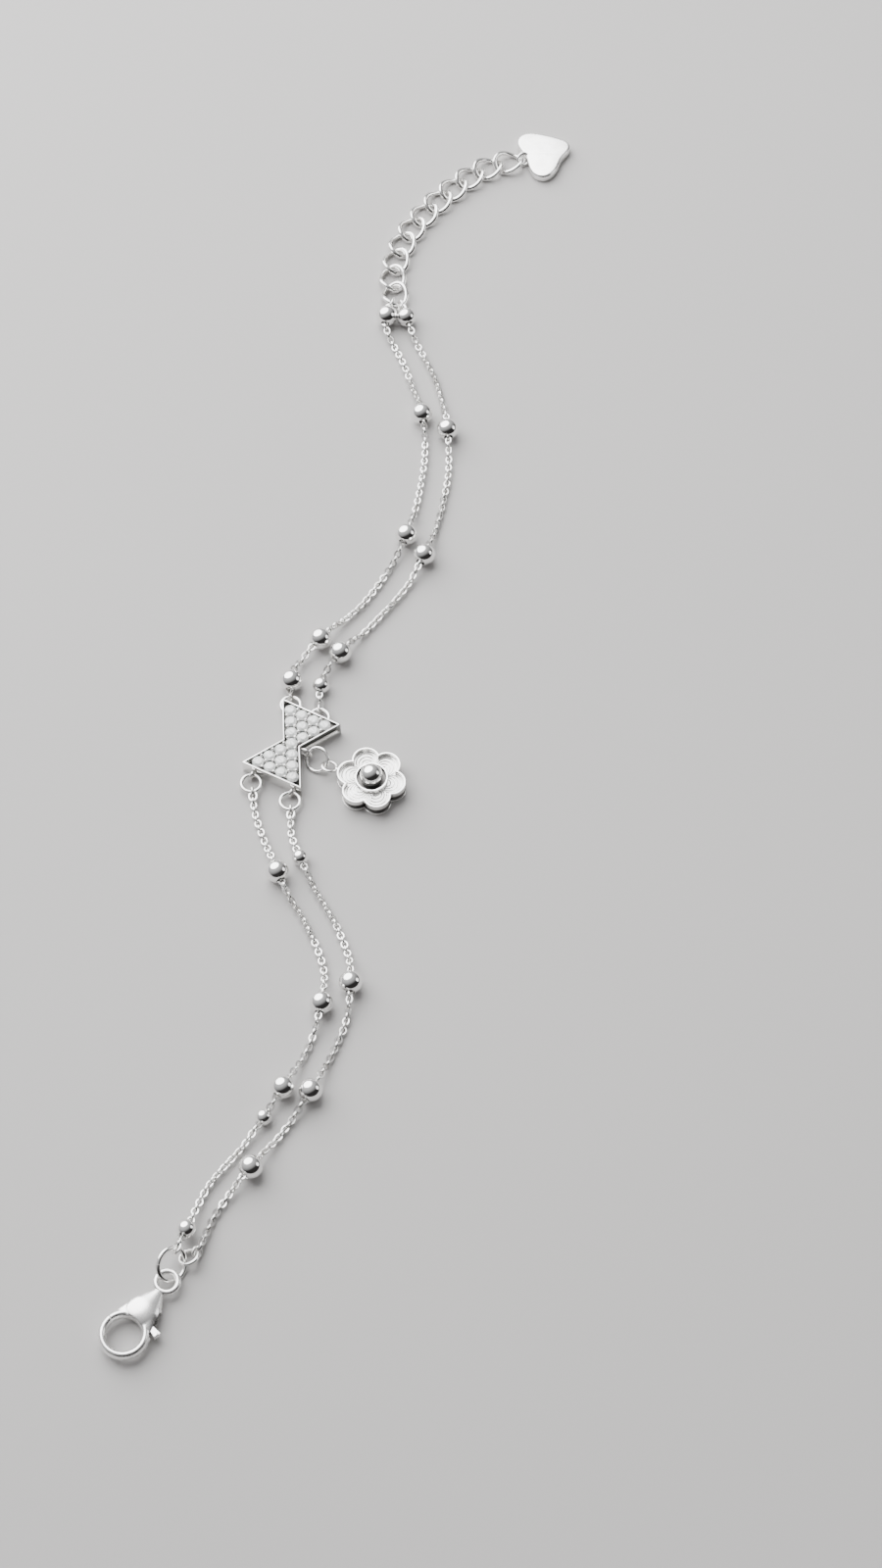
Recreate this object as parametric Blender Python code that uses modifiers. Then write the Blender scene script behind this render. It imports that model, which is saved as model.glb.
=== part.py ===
"""Charm anklet that lies open: beaded double chain, stone plate, flower charm, lobster clasp and extender.

Run it with: blender --background --python part.py
Lengths are in metres and +Z is up. The anklet lies along +Y, from its clasp to its end tag, on the plane z = 0.
"""

import math

import bmesh
import bpy
from mathutils import Matrix, Vector

MM = 0.001
UP = Vector((0.0, 0.0, 1.0))

# Clearances
LOOSE = 0.12 * MM                 # between pieces that hang in each other
OVERLAP = 0.1 * MM                # how far soldered shapes run into each other
HAIR = 0.01 * MM                  # keeps two faces out of one plane

# Beads and fine chain
BEAD_D = 3.4 * MM
CHAIN_D = 1.25 * MM               # round the outside of the fine chain's links
END_LINK_WIRE = 0.36 * MM         # wire of the link at each end of a strand
STRAND_STEP = 3.4 * MM            # length of one straight piece of a strand
SAG_REACH = 4.2 * MM              # how far from a bead the chain comes down to the ground

# Extender
LINK_PITCH = 3.68 * MM
LINK_WIRE = 0.8 * MM
LINK_WIDTH = 4.7 * MM             # outside
LINK_COUNT = 11
LINK_RISE = 0.68                  # rise and fall of a twisted link, as a share of its wire

# Jump rings, outside diameter and wire
PLATE_RING_D = 3.46 * MM
PLATE_RING_WIRE = 0.56 * MM
CHARM_RING_D = 4.0 * MM
CHARM_RING_WIRE = 0.5 * MM
CLASP_RING_D = 5.2 * MM
CLASP_RING_WIRE = 0.66 * MM
CONNECTOR_D = 3.2 * MM
CONNECTOR_WIRE = 0.6 * MM

# Stone plate
PLATE_H = 2.5 * MM
PLATE_SLOPE = math.radians(30.0)  # the sides' lean, which the rows of stones follow
STONE_D = 1.6 * MM
STONE_PITCH = 1.92 * MM
STONE_ROWS = 3                    # rows on each side of the single stone at the waist
STONE_RISE = 0.15 * MM            # a stone's table above the rim
TABLE_SHARE = 0.55                # width of the table, as a share of the stone's
SEAT_WALL = 0.15 * MM
PLATE_RIM = 0.25 * MM
TRAY_DEPTH = 0.35 * MM
PRONG_D = 0.46 * MM
PRONG_RISE = 0.1 * MM             # a prong's tip above the rim
LOOP_WIRE = 0.42 * MM             # wire of the small soldered loops

# Flower charm
PETALS = 6
FLOWER_D = 10.4 * MM
PETAL_LAP = 1.1 * MM              # how far two neighbouring petals' rounds run into each other
FLOWER_H = 2.5 * MM
FLANGE_H = 0.45 * MM
FLANGE_INSET = 0.3 * MM
PETAL_RIM = 0.38 * MM
PETAL_STEP = 0.45 * MM            # from one step in a petal to the next
PETAL_DEPTH = 0.55 * MM
CUP_D = 4.4 * MM
CUP_WALL = 0.25 * MM
CUP_RISE = 0.3 * MM
BOWL_DEPTH = 0.3 * MM             # the cup's floor below the petals' floor
BALL_D = 3.4 * MM
BALL_LIFT = 0.35 * MM             # the ball's middle above the cup's edge
FLOWER_LOOP_D = 2.6 * MM
FLOWER_LOOP_WIRE = 0.46 * MM
FLOWER_LOOP_OUT = 1.53 * MM       # from the petals' round to the loop's middle
NECK_ROOT = 1.0 * MM              # from the flower's middle to the root of the loop's neck
CHARM_NECK = 0.5 * MM             # holds the charm's loop off the plate's waist

# End tag
TAG_H = 1.5 * MM
TAG_WAIST = 3.35 * MM             # radius between the lobes
TAG_LOOP_D = 2.4 * MM
TAG_LOOP_WIRE = 0.5 * MM
TAG_LOOP_OUT = 0.6 * MM           # from the tag's waist to its loop's middle
TAG_EDGE = 0.45 * MM              # width of the rounded edge

# Clasp
HOOK_HOLE_D = 4.72 * MM
HOOK_LIMB = 1.14 * MM             # width of the hook, seen from above
HOOK_H = 1.8 * MM
CLASP_BODY_W = 5.2 * MM
CLASP_BODY_H = 2.7 * MM
CLASP_BODY_SEAT = 3.9 * MM        # from the hook's centre to the widest place of the body
CLASP_TIP_D = 1.4 * MM            # small end of the body
CLASP_LOOP_D = 3.84 * MM
CLASP_LOOP_WIRE = 0.84 * MM
CLASP_REACH = 9.25 * MM           # from the hook's centre to the loop's centre
PIN_ALONG = 3.6 * MM              # the pin's place, from the hook's centre towards the loop
PIN_ASIDE = 0.9 * MM              # and towards the gate's side
PIN_D = 0.7 * MM
LEVER_H = 0.9 * MM
LEVER_PLAY = 0.15 * MM            # above, below and round the lever
HUB_D = 1.9 * MM
GATE_NEAR = 1.6 * MM              # from the pin to the gate's near end
GATE_FAR = 3.44 * MM              # from the pin to the gate's tip
TAB_REACH = 4.9 * MM              # from the pin to the thumb tab's end
TAB_HALF_ANGLE = math.radians(8.5)
TAB_ANGLE = math.radians(258.5)
TAB_GRIP = 0.7 * MM               # length of the tab's thicker end
GRIP_SPREAD = 1.15                # width of that end, as a share of the tab's
GATE_H = 1.7 * MM
GATE_EDGE = 0.3 * MM
GATE_START = math.radians(77.0)   # the gate's near end, seen from the pin
GATE_END = math.radians(165.0)
ARM_MARGIN = math.radians(12.0)
SLOT_MARGIN = math.radians(6.0)
OPEN_ANGLE = math.radians(25.0)   # the lever's swing

# Where the main pieces lie
PLATE_PLACE = Vector((-9.45, -12.7)) * MM
PLATE_TURN = math.radians(-27.1)
CHARM_WAY = math.radians(-36.9)   # from the plate's waist to the charm ring
CHARM_ROLL = math.radians(38.0)   # the charm ring leans on the plate's side
FLOWER_WAY = math.radians(-21.5)  # from the flower's loop to its middle
FLOWER_TURN = math.radians(-15.0)
FLOWER_LOOP_ROLL = math.radians(20.0)
TAG_WAY = math.radians(25.0)      # from the tag's loop to its middle
TAG_LOOP_ROLL = math.radians(48.0)
CLASP_RING_WAY = math.radians(57.3)
CLASP_RING_ROLL = math.radians(50.0)
CLASP_RING_ALONG = 0.27           # the clasp ring's middle past the loop's wire, as a share of the ring's radius
CLASP_RING_ASIDE = 0.35           # and towards the gate's side
CLASP_RING_HOLDS = (math.radians(25.0), math.radians(-35.0))
CONNECTOR_WAY = math.radians(35.0)
CONNECTOR_LEAN = 0.6              # how far the connector link lies down, as a share of level
UPPER_RING_HOLDS = math.radians(30.0)
FIRST_HOLDS = math.radians(22.0)  # where the two upper strands hang, each side of the first link's end
HOOK_PLACE = Vector((-29.63, -104.01)) * MM
CLASP_TURN = math.radians(54.1)

# Along the plate's edges, how far each ring sits from the plate's middle line
UPPER_RING_OFFSETS = (-3.75 * MM, 1.1 * MM)
LOWER_RING_OFFSETS = (-3.0 * MM, 3.6 * MM)

# Chosen points of the chains that lie free, in millimetres, from the upper end to the lower end
ROUTES = {
    "upper_left": [(3.5, 68.0), (4.1, 65.0), (5.86, 61.19), (7.44, 56.71), (9.6, 49.0), (10.18, 42.17), (9.52, 35.08),
                   (7.7, 26.4), (5.24, 20.45), (0.89, 13.3), (-3.96, 8.06), (-8.0, 3.1), (-10.1, -0.8)],
    "upper_right": [(7.2, 68.0), (8.1, 64.8), (9.91, 60.59), (11.77, 55.93), (13.5, 48.0), (13.93, 38.81), (13.0, 32.13),
                    (11.21, 24.43), (7.91, 16.99), (2.9, 10.16), (-2.4, 3.9), (-4.6, 0.59), (-5.5, -2.6)],
    "lower_left": [(-14.49, -24.07), (-12.87, -28.87), (-10.35, -35.58), (-6.78, -41.9),
                   (-4.1, -48.94), (-4.2, -55.0), (-6.09, -61.79), (-9.5, -68.3), (-14.39, -76.18),
                   (-19.23, -82.46), (-21.8, -88.9)],
    "lower_right": [(-8.93, -28.31), (-6.08, -35.29), (-2.41, -42.17), (-0.2, -49.0),
                    (-0.54, -56.47), (-2.31, -61.79), (-5.25, -68.2), (-9.55, -74.89), (-14.75, -81.7),
                    (-17.9, -86.2)],
    "extender": [(5.15, 72.8), (4.8, 77.2), (5.94, 82.47), (7.37, 86.0), (9.45, 89.34), (11.88, 92.5),
                 (14.65, 95.46), (17.6, 98.1), (20.3, 99.9), (22.9, 101.0), (25.3, 101.6)],
}

# Beads of each strand: place as a share of the way that it can slide, and diameter as a share of BEAD_D
BEADS = {
    "upper_left": [(0.0, 1.0), (0.271, 1.0), (0.579, 1.0), (0.884, 1.0), (1.0, 1.0)],
    "upper_right": [(0.004, 0.92), (0.305, 1.0), (0.617, 1.0), (0.898, 1.0), (0.975, 0.76)],
    "lower_left": [(0.161, 1.0), (0.467, 1.0), (0.657, 1.0), (0.722, 0.7), (0.986, 0.8)],
    "lower_right": [(0.089, 0.7), (0.393, 1.0), (0.642, 1.0), (0.838, 1.0)],
}

# Lobes of the tag: direction in degrees, reach as a share of TAG_WAIST, width in degrees
TAG_LOBES = [(138.0, 1.49, 34.0), (15.0, 1.31, 30.0), (-84.0, 1.33, 30.0)]

# Sides of round shapes
BEAD_SIDES = 12
BEAD_STEPS = 6                    # from one lip of a bead to the other
RING_SIDES = 14
WIRE_SIDES = 6
END_LINK_SIDES = 12
POST_SIDES = 10
POCKET_SIDES = 24
STONE_SIDES = 8
PRONG_SIDES = 6
PETAL_SIDES = 5                   # of each petal's round
CUP_SIDES = 20
BALL_SIDES = 14
BALL_RINGS = 9
TAG_SIDES = 40
BODY_SIDES = 20
HOOK_SIDES = 28
LIMB_SIDES = 8
CLASP_LOOP_SIDES = 18
PIN_SIDES = 12
HUB_SIDES = 20
BORE_SIDES = 16

# Shading: faces that meet at less than this angle look smooth
EDGE_ANGLE = 40.0
WIRE_EDGE_ANGLE = 70.0


def clear_scene():
    """Remove everything that the file opened with."""
    for item in list(bpy.data.objects):
        bpy.data.objects.remove(item, do_unlink=True)


def make_collection(name):
    collection = bpy.data.collections.new(name)
    bpy.context.scene.collection.children.link(collection)
    return collection


def make_material(name, color, metallic, roughness):
    """A plain Principled finish, or the one of that name that is there already."""
    if name in bpy.data.materials:
        return bpy.data.materials[name]
    material = bpy.data.materials.new(name)
    material.use_nodes = True
    shader = material.node_tree.nodes["Principled BSDF"]
    shader.inputs["Base Color"].default_value = (*color, 1.0)
    shader.inputs["Metallic"].default_value = metallic
    shader.inputs["Roughness"].default_value = roughness
    return material


def silver(piece, roughness=0.12):
    return make_material(piece + "_silver", (0.86, 0.85, 0.84), 1.0, roughness)


def adopt(obj, name, material=None, tool=False):
    """Name an object, give it its finish, and put it with the parts or with the hidden tools."""
    obj.name = name
    obj.data.name = name
    for collection in list(obj.users_collection):
        collection.objects.unlink(obj)
    if tool:
        TOOLS.objects.link(obj)
        obj.hide_render = True
        obj.display_type = "WIRE"
    else:
        PARTS.objects.link(obj)
        obj.data.materials.clear()
        obj.data.materials.append(material)
    obj.parent = ANKLET
    return obj


def smooth_shade(obj, angle=EDGE_ANGLE):
    obj.data.shade_smooth()
    obj.data.set_sharp_from_angle(angle=math.radians(angle))


def stand(obj, location, rotation=(0.0, 0.0, 0.0)):
    """Place an object by its location and rotation."""
    obj.location = location
    obj.rotation_euler = rotation
    return obj


def bake(obj):
    """Move an object's own place and turn into its mesh."""
    obj.data.transform(obj.matrix_basis)
    obj.matrix_basis = Matrix.Identity(4)
    return obj


def mesh_from_curve(curve_obj):
    """The curve as a closed mesh object with the curve's matrix; the curve is removed."""
    bpy.context.view_layer.update()
    evaluated = curve_obj.evaluated_get(bpy.context.evaluated_depsgraph_get())
    mesh = bpy.data.meshes.new_from_object(evaluated)
    matrix = curve_obj.matrix_world.copy()
    bpy.data.objects.remove(curve_obj, do_unlink=True)
    edit = bmesh.new()
    edit.from_mesh(mesh)
    bmesh.ops.remove_doubles(edit, verts=edit.verts, dist=0.001 * MM)
    edit.to_mesh(mesh)
    edit.free()
    obj = bpy.data.objects.new("shape", mesh)
    obj.matrix_world = matrix
    bpy.context.scene.collection.objects.link(obj)
    return obj


def curve_object(points, closed, dimensions):
    curve = bpy.data.curves.new("shape", "CURVE")
    curve.dimensions = dimensions
    spline = curve.splines.new("POLY")
    spline.points.add(len(points) - 1)
    for place, point in zip(spline.points, points):
        place.co = (*point, 1.0)
    spline.use_cyclic_u = closed
    obj = bpy.data.objects.new("shape", curve)
    bpy.context.scene.collection.objects.link(obj)
    return obj


def wire(points, radius, closed=False, resolution=1):
    """Round wire along the points; resolution 1 gives it six sides and 2 gives it eight."""
    obj = curve_object(points, closed, "3D")
    obj.data.bevel_depth = radius
    obj.data.bevel_resolution = resolution
    obj.data.use_fill_caps = not closed
    return mesh_from_curve(obj)


def slab(outline, low, high):
    """A flat outline raised from one height to another."""
    obj = curve_object([(x, y, 0.0) for x, y in outline], True, "2D")
    obj.data.fill_mode = "BOTH"
    obj.data.extrude = (high - low) / 2.0
    solid = mesh_from_curve(obj)
    solid.data.transform(Matrix.Translation((0.0, 0.0, (low + high) / 2.0)))
    return solid


def ring(outside, wire_d, sides=RING_SIDES, wire_sides=WIRE_SIDES):
    """A round wire ring that lies flat about the origin."""
    bpy.ops.mesh.primitive_torus_add(major_segments=sides, minor_segments=wire_sides,
                                     major_radius=(outside - wire_d) / 2.0, minor_radius=wire_d / 2.0)
    return bpy.context.object


def rod(radius, low, high, sides):
    """An upright round rod about the origin."""
    bpy.ops.mesh.primitive_cylinder_add(vertices=sides, radius=radius, depth=high - low,
                                        location=(0.0, 0.0, (low + high) / 2.0))
    return bake(bpy.context.object)


def join_meshes(objects):
    """Put separate meshes that don't meet into the first object."""
    edit = bmesh.new()
    for obj in objects:
        piece = obj.data.copy()
        piece.transform(obj.matrix_basis)
        edit.from_mesh(piece)
        bpy.data.meshes.remove(piece)
    first = objects[0]
    for obj in objects[1:]:
        bpy.data.objects.remove(obj, do_unlink=True)
    first.matrix_basis = Matrix.Identity(4)
    edit.to_mesh(first.data)
    edit.free()
    return first


def combine(obj, tool, operation, name):
    """Boolean with a hidden tool object that shares the same frame."""
    adopt(tool, name, tool=True)
    tool.parent = obj
    modifier = obj.modifiers.new(name, "BOOLEAN")
    modifier.operation = operation
    modifier.object = tool
    modifier.solver = "EXACT"


def round_edges(obj, width, segments, angle=50.0):
    modifier = obj.modifiers.new("rounded edges", "BEVEL")
    modifier.width = width
    modifier.segments = segments
    modifier.limit_method = "ANGLE"
    modifier.angle_limit = math.radians(angle)


def polar(radius, angle, centre=(0.0, 0.0)):
    return (centre[0] + radius * math.cos(angle), centre[1] + radius * math.sin(angle))


def circle(radius, sides, centre):
    """Outline of a round hole or disc."""
    return [polar(radius, 2.0 * math.pi * k / sides, centre) for k in range(sides)]


def arc(radius, start, end, steps, centre=(0.0, 0.0)):
    return [polar(radius, start + (end - start) * k / steps, centre) for k in range(steps + 1)]


def pie(centre, inner, outer, start, end, steps):
    """Outline of a ring's sector, or of a plain sector where inner is 0."""
    outline = arc(outer, start, end, steps, centre)
    if inner > 0.0:
        return outline + arc(inner, end, start, steps, centre)
    return outline + [tuple(centre)]


def smooth_line(points, steps=24):
    """Points of a smooth curve through the given points."""
    ends = [2.0 * points[0] - points[1]] + points + [2.0 * points[-1] - points[-2]]
    line = []
    for before, a, b, after in zip(ends, ends[1:], ends[2:], ends[3:]):
        for k in range(steps):
            t = k / steps
            line.append(0.5 * (2.0 * a + (b - before) * t + (2.0 * before - 5.0 * a + 4.0 * b - after) * t * t
                               + (3.0 * a - before - 3.0 * b + after) * t ** 3))
    return line + [points[-1]]


class Route:
    """A smooth level line that gives its point and direction at any distance along it."""

    def __init__(self, points):
        self.line = smooth_line(points)
        self.run = [0.0]
        for a, b in zip(self.line, self.line[1:]):
            self.run.append(self.run[-1] + (b - a).length)
        self.length = self.run[-1]

    def at(self, distance):
        """The point there; past either end the line goes straight on."""
        k = 1
        while k < len(self.run) - 1 and self.run[k] < distance:
            k += 1
        share = (distance - self.run[k - 1]) / (self.run[k] - self.run[k - 1])
        return self.line[k - 1].lerp(self.line[k], share)

    def heading(self, distance):
        step = 0.2 * MM
        return (self.at(distance + step) - self.at(distance - step)).normalized()


def level(vector, height):
    return Vector((vector[0], vector[1], height))


def yaw_of(direction):
    return math.atan2(direction[1], direction[0])


# Sizes that follow from the driving sizes
CHAIN_R = CHAIN_D / 2.0
LINK_HEIGHT = LINK_WIRE * LINK_RISE
LINK_LENGTH = LINK_PITCH + LINK_WIRE + 2.5 * LOOSE           # along the wire's middle
LINK_Z = LINK_HEIGHT + LINK_WIRE / 2.0
PLATE_RING_R = (PLATE_RING_D - PLATE_RING_WIRE) / 2.0
CHARM_RING_R = (CHARM_RING_D - CHARM_RING_WIRE) / 2.0
CLASP_RING_R = (CLASP_RING_D - CLASP_RING_WIRE) / 2.0
CONNECTOR_R = (CONNECTOR_D - CONNECTOR_WIRE) / 2.0
ROW_STEP = STONE_PITCH * math.cos(PLATE_SLOPE)
EDGE_MARGIN = STONE_D / 2.0 + SEAT_WALL + PLATE_RIM
PLATE_HALF_LENGTH = STONE_ROWS * ROW_STEP + EDGE_MARGIN
PLATE_WAIST = EDGE_MARGIN / math.cos(PLATE_SLOPE)            # half width at the waist
PETAL_HALF = math.pi / PETALS                                # half of one petal's share of the round
PETAL_R = (PETAL_LAP + FLOWER_D * math.sin(PETAL_HALF)) / (2.0 + 2.0 * math.sin(PETAL_HALF))
PETAL_REACH = FLOWER_D / 2.0 - PETAL_R                       # from the flower's middle to a petal's
FLOWER_REACH = FLOWER_D / 2.0 + FLOWER_LOOP_OUT              # from the flower's middle to its loop's
TAG_REACH = TAG_WAIST + TAG_LOOP_OUT                         # from the tag's middle to its loop's


def bead_mesh(diameter):
    """A drilled bead, turned about its bore."""
    bore = CHAIN_R + LOOSE
    radius = diameter / 2.0
    lip = math.asin(min(bore / radius, 0.95))
    bm = bmesh.new()
    angles = [lip + (math.pi - 2.0 * lip) * k / BEAD_STEPS for k in range(BEAD_STEPS + 1)]
    outline = [bm.verts.new((radius * math.sin(angle), 0.0, radius * math.cos(angle))) for angle in angles]
    for a, b in zip(outline, outline[1:] + outline[:1]):
        bm.edges.new((a, b))
    mesh = bpy.data.meshes.new("bead")
    bm.to_mesh(mesh)
    bm.free()
    obj = bpy.data.objects.new("bead", mesh)
    bpy.context.scene.collection.objects.link(obj)
    turn = obj.modifiers.new("turned", "SCREW")
    turn.steps = BEAD_SIDES
    turn.render_steps = BEAD_SIDES
    turn.use_merge_vertices = True
    turn.merge_threshold = 0.001 * MM
    turn.use_smooth_shade = True
    return obj


def loop_radius(held_wire, own_wire, skew=0.0):
    """Middle radius of a small loop that swings freely on a wire of that diameter, which may cross it askew."""
    crossing = held_wire / 2.0 / math.cos(skew) + own_wire / 2.0 * math.tan(skew)
    return crossing + own_wire / 2.0 + 1.5 * LOOSE


RING_Z = loop_radius(PLATE_RING_WIRE, LOOP_WIRE) + LOOP_WIRE / 2.0
LOOP_OUT = PLATE_RING_WIRE / 2.0 + 1.5 * LOOSE               # from the plate's wall to a loop's middle
CHARM_Z = CHARM_RING_R * math.sin(CHARM_ROLL) + CHARM_RING_WIRE / 2.0
POST_D = PLATE_RING_WIRE
POST_IN = POST_D / 2.0 + LOOSE                               # from the plate's edge in to a ring post
POCKET_PLAY = 1.5 * LOOSE
UPPER_RING_OUT = PLATE_RING_R - PLATE_RING_WIRE / 2.0 - POST_D / 2.0 - LOOSE - POST_IN
CLASP_Z = CLASP_BODY_H / 2.0
CLASP_LOOP_R = (CLASP_LOOP_D - CLASP_LOOP_WIRE) / 2.0
HOOK_R = HOOK_HOLE_D / 2.0
LIMB_R = HOOK_R + HOOK_LIMB / 2.0
PIN_PLACE = (PIN_ALONG, PIN_ASIDE)
PIN_DISTANCE = math.hypot(PIN_ALONG, PIN_ASIDE)
PIN_ANGLE = math.atan2(PIN_ASIDE, PIN_ALONG)


class Held:
    """A short stretch of wire that something hangs on: its middle, its direction and its thickness."""

    def __init__(self, point, along, thickness, skew=0.0):
        self.point = Vector(point)
        self.along = Vector(along).normalized()
        self.thickness = thickness
        self.skew = skew


def frame_of(centre, way, normal):
    """Matrix of a ring whose X axis points along way and whose Z axis is its normal."""
    way = way.normalized()
    normal = (normal - normal.dot(way) * way).normalized()
    side = normal.cross(way)
    matrix = Matrix((way, side, normal)).transposed().to_4x4()
    matrix.translation = centre
    return matrix


def hang(held, way, outside, thickness, normal=None):
    """A ring pulled away along way from the wire it hangs on: its matrix, and its own far wire."""
    way = Vector(way).normalized()
    radius = (outside - thickness) / 2.0
    reach = radius - (held.thickness + thickness) / 2.0 - LOOSE
    matrix = frame_of(held.point + reach * way, way, Vector(normal) if normal else held.along)
    return matrix, ring_wire(matrix, radius, thickness, 0.0)


def ring_wire(matrix, radius, thickness, angle):
    """The wire of a placed ring at that angle from its X axis."""
    place = matrix @ Vector((radius * math.cos(angle), radius * math.sin(angle), 0.0))
    along = matrix.to_3x3() @ Vector((-math.sin(angle), math.cos(angle), 0.0))
    return Held(place, along, thickness)


def put(obj, matrix):
    obj.location = matrix.translation
    obj.rotation_euler = matrix.to_euler()
    return obj


def make_ring(name, matrix, outside, thickness):
    obj = adopt(ring(outside, thickness), name, silver("ring"))
    smooth_shade(obj, WIRE_EDGE_ANGLE)
    return put(obj, matrix)


def bead_spans(name, length):
    """Start, end and radius of each bead along its strand."""
    spans = []
    for share, size in BEADS[name]:
        radius = size * BEAD_D / 2.0
        start = LOOSE + share * (length - 2.0 * radius - 2.0 * LOOSE)
        spans.append((start, start + 2.0 * radius, radius))
    return spans


def strand_stations(length, spans):
    """Distances along a strand that get a point: both ends of each bead, and even steps between."""
    fixed = [0.0]
    for start, end, _ in spans:
        fixed += [start, end]
    fixed.append(length)
    stations = []
    for a, b in zip(fixed, fixed[1:]):
        count = max(1, round((b - a) / STRAND_STEP))
        stations += [a + (b - a) * k / count for k in range(count)]
    return stations + [length]


def lift(distance, supports):
    """Height of the chain's middle: on the ground, but carried up by beads and by what holds its ends."""
    ground = CHAIN_R
    height = ground
    for place, half, top in supports:
        away = max(0.0, abs(distance - place) - half)
        if away < SAG_REACH:
            height = max(height, ground + (top - ground) * (0.5 + 0.5 * math.cos(math.pi * away / SAG_REACH)))
    return height


def end_link(held, way):
    """The strand's last link, round the wire that holds it, and the point where the tube starts."""
    radius = loop_radius(held.thickness, END_LINK_WIRE, held.skew)
    matrix = frame_of(held.point, way, held.along)
    tool = ring(2.0 * radius + END_LINK_WIRE, END_LINK_WIRE, END_LINK_SIDES)
    tool.data.transform(matrix)
    return tool, held.point + radius * way


def way_to(held, target):
    """Level direction from a held wire to a point of a route."""
    gap = Vector((target[0] - held.point[0], target[1] - held.point[1], 0.0))
    return gap.normalized()


def build_strand(name, start, end):
    """One fine chain as a tube with a link at each end, and its beads."""
    middle = [Vector(point) * MM for point in ROUTES[name]]
    first_link, first = end_link(start, way_to(start, middle[0]))
    last_link, last = end_link(end, way_to(end, middle[-1]))
    route = Route([first.xy] + middle + [last.xy])
    spans = bead_spans(name, route.length)
    supports = [((start + end) / 2.0, radius, radius) for start, end, radius in spans]
    supports += [(0.0, 0.0, first.z), (route.length, 0.0, last.z)]
    stations = strand_stations(route.length, spans)
    points = [level(route.at(d), lift(d, supports)) for d in stations]
    strand = adopt(wire(points, CHAIN_R, resolution=2), name + "_strand", silver("chain", 0.2))
    combine(strand, first_link, "UNION", name + "_first_link")
    combine(strand, last_link, "UNION", name + "_last_link")
    for number, (start, end, radius) in enumerate(spans, 1):
        low = level(route.at(start), lift(start, supports))
        high = level(route.at(end), lift(end, supports))
        bead = adopt(bead_mesh(2.0 * radius), "%s_bead_%d" % (name, number), silver("bead", 0.06))
        bead.location = (low + high) / 2.0
        bead.rotation_euler = (high - low).to_track_quat("Z", "Y").to_euler()


def link_points(length, width, height, sides=RING_SIDES):
    """Middle line of a twisted curb link that lies along X."""
    turn = [2.0 * math.pi * k / sides for k in range(sides)]
    return [Vector((length / 2.0 * math.cos(t), width / 2.0 * math.sin(t), height * math.sin(2.0 * t)))
            for t in turn]


def link_wire(matrix, angle):
    """The wire of a placed curb link at that angle."""
    half_length = LINK_LENGTH / 2.0
    half_width = (LINK_WIDTH - LINK_WIRE) / 2.0
    place = Vector((half_length * math.cos(angle), half_width * math.sin(angle),
                    LINK_HEIGHT * math.sin(2.0 * angle)))
    along = Vector((-half_length * math.sin(angle), half_width * math.cos(angle),
                    2.0 * LINK_HEIGHT * math.cos(2.0 * angle)))
    return Held(matrix @ place, matrix.to_3x3() @ along, LINK_WIRE, FIRST_HOLDS)


def build_extender():
    """Curb links that lie flat along their route; the first one's end rises onto the strands' end links."""
    route = Route([Vector(point) * MM for point in ROUTES["extender"]])
    lowest = LINK_Z - LINK_HEIGHT * math.sin(2.0 * FIRST_HOLDS)
    needed = loop_radius(LINK_WIRE, END_LINK_WIRE, FIRST_HOLDS) + END_LINK_WIRE / 2.0
    rise = max(0.0, needed - lowest)
    matrices = []
    for k in range(LINK_COUNT):
        height = LINK_Z + (rise / 2.0 if k == 0 else 0.0)
        slope = -rise / LINK_LENGTH if k == 0 else 0.0
        way = level(route.heading(k * LINK_PITCH), slope)
        matrix = frame_of(level(route.at(k * LINK_PITCH), height), way, UP)
        points = link_points(LINK_LENGTH, LINK_WIDTH - LINK_WIRE, LINK_HEIGHT)
        link = adopt(wire(points, LINK_WIRE / 2.0, closed=True), "extender_link_%d" % (k + 1), silver("link"))
        smooth_shade(link, WIRE_EDGE_ANGLE)
        put(link, matrix)
        matrices.append(matrix)
    return matrices


def triangle_lattice():
    """Places of the stones: rows of one stone at the waist and more towards both ends."""
    places = []
    for row in range(-STONE_ROWS, STONE_ROWS + 1):
        count = abs(row) + 1
        for k in range(count):
            places.append(Vector(((k - (count - 1) / 2.0) * STONE_PITCH, row * ROW_STEP)))
    return places


def prong_places(stones):
    """A prong beside the middle of each pair of neighbours, on both sides, shared where two pairs meet."""
    places = []
    for i, a in enumerate(stones):
        for b in stones[i + 1:]:
            if (b - a).length > 1.1 * STONE_PITCH:
                continue
            across = (b - a).normalized().orthogonal() * STONE_PITCH / (2.0 * math.sqrt(3.0))
            for spot in ((a + b) / 2.0 + across, (a + b) / 2.0 - across):
                near_stone = min((spot - stone).length for stone in stones)
                near_prong = min([(spot - place).length for place in places] + [STONE_PITCH])
                if near_stone > 0.5 * STONE_PITCH and near_prong > 0.5 * STONE_PITCH:
                    places.append(spot)
    return places


def bow_outline(inset):
    """Outline of the hourglass plate, moved in by inset."""
    waist = PLATE_WAIST - inset / math.cos(PLATE_SLOPE)
    half = PLATE_HALF_LENGTH - inset
    wide = waist + half * math.tan(PLATE_SLOPE)
    return [(waist, 0.0), (wide, half), (-wide, half), (-waist, 0.0), (-wide, -half), (wide, -half)]


def tapered(place, low, high, width, top_share, sides, name):
    """A standing shape with flat sides that lean in to a flat top: a cut stone's crown, or a prong."""
    bm = bmesh.new()
    bmesh.ops.create_cone(bm, cap_ends=True, segments=sides, radius1=width / 2.0, radius2=top_share * width / 2.0,
                          depth=high - low)
    bmesh.ops.translate(bm, verts=bm.verts, vec=(place.x, place.y, (low + high) / 2.0))
    mesh = bpy.data.meshes.new(name)
    bm.to_mesh(mesh)
    bm.free()
    obj = bpy.data.objects.new(name, mesh)
    bpy.context.scene.collection.objects.link(obj)
    return obj


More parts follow.
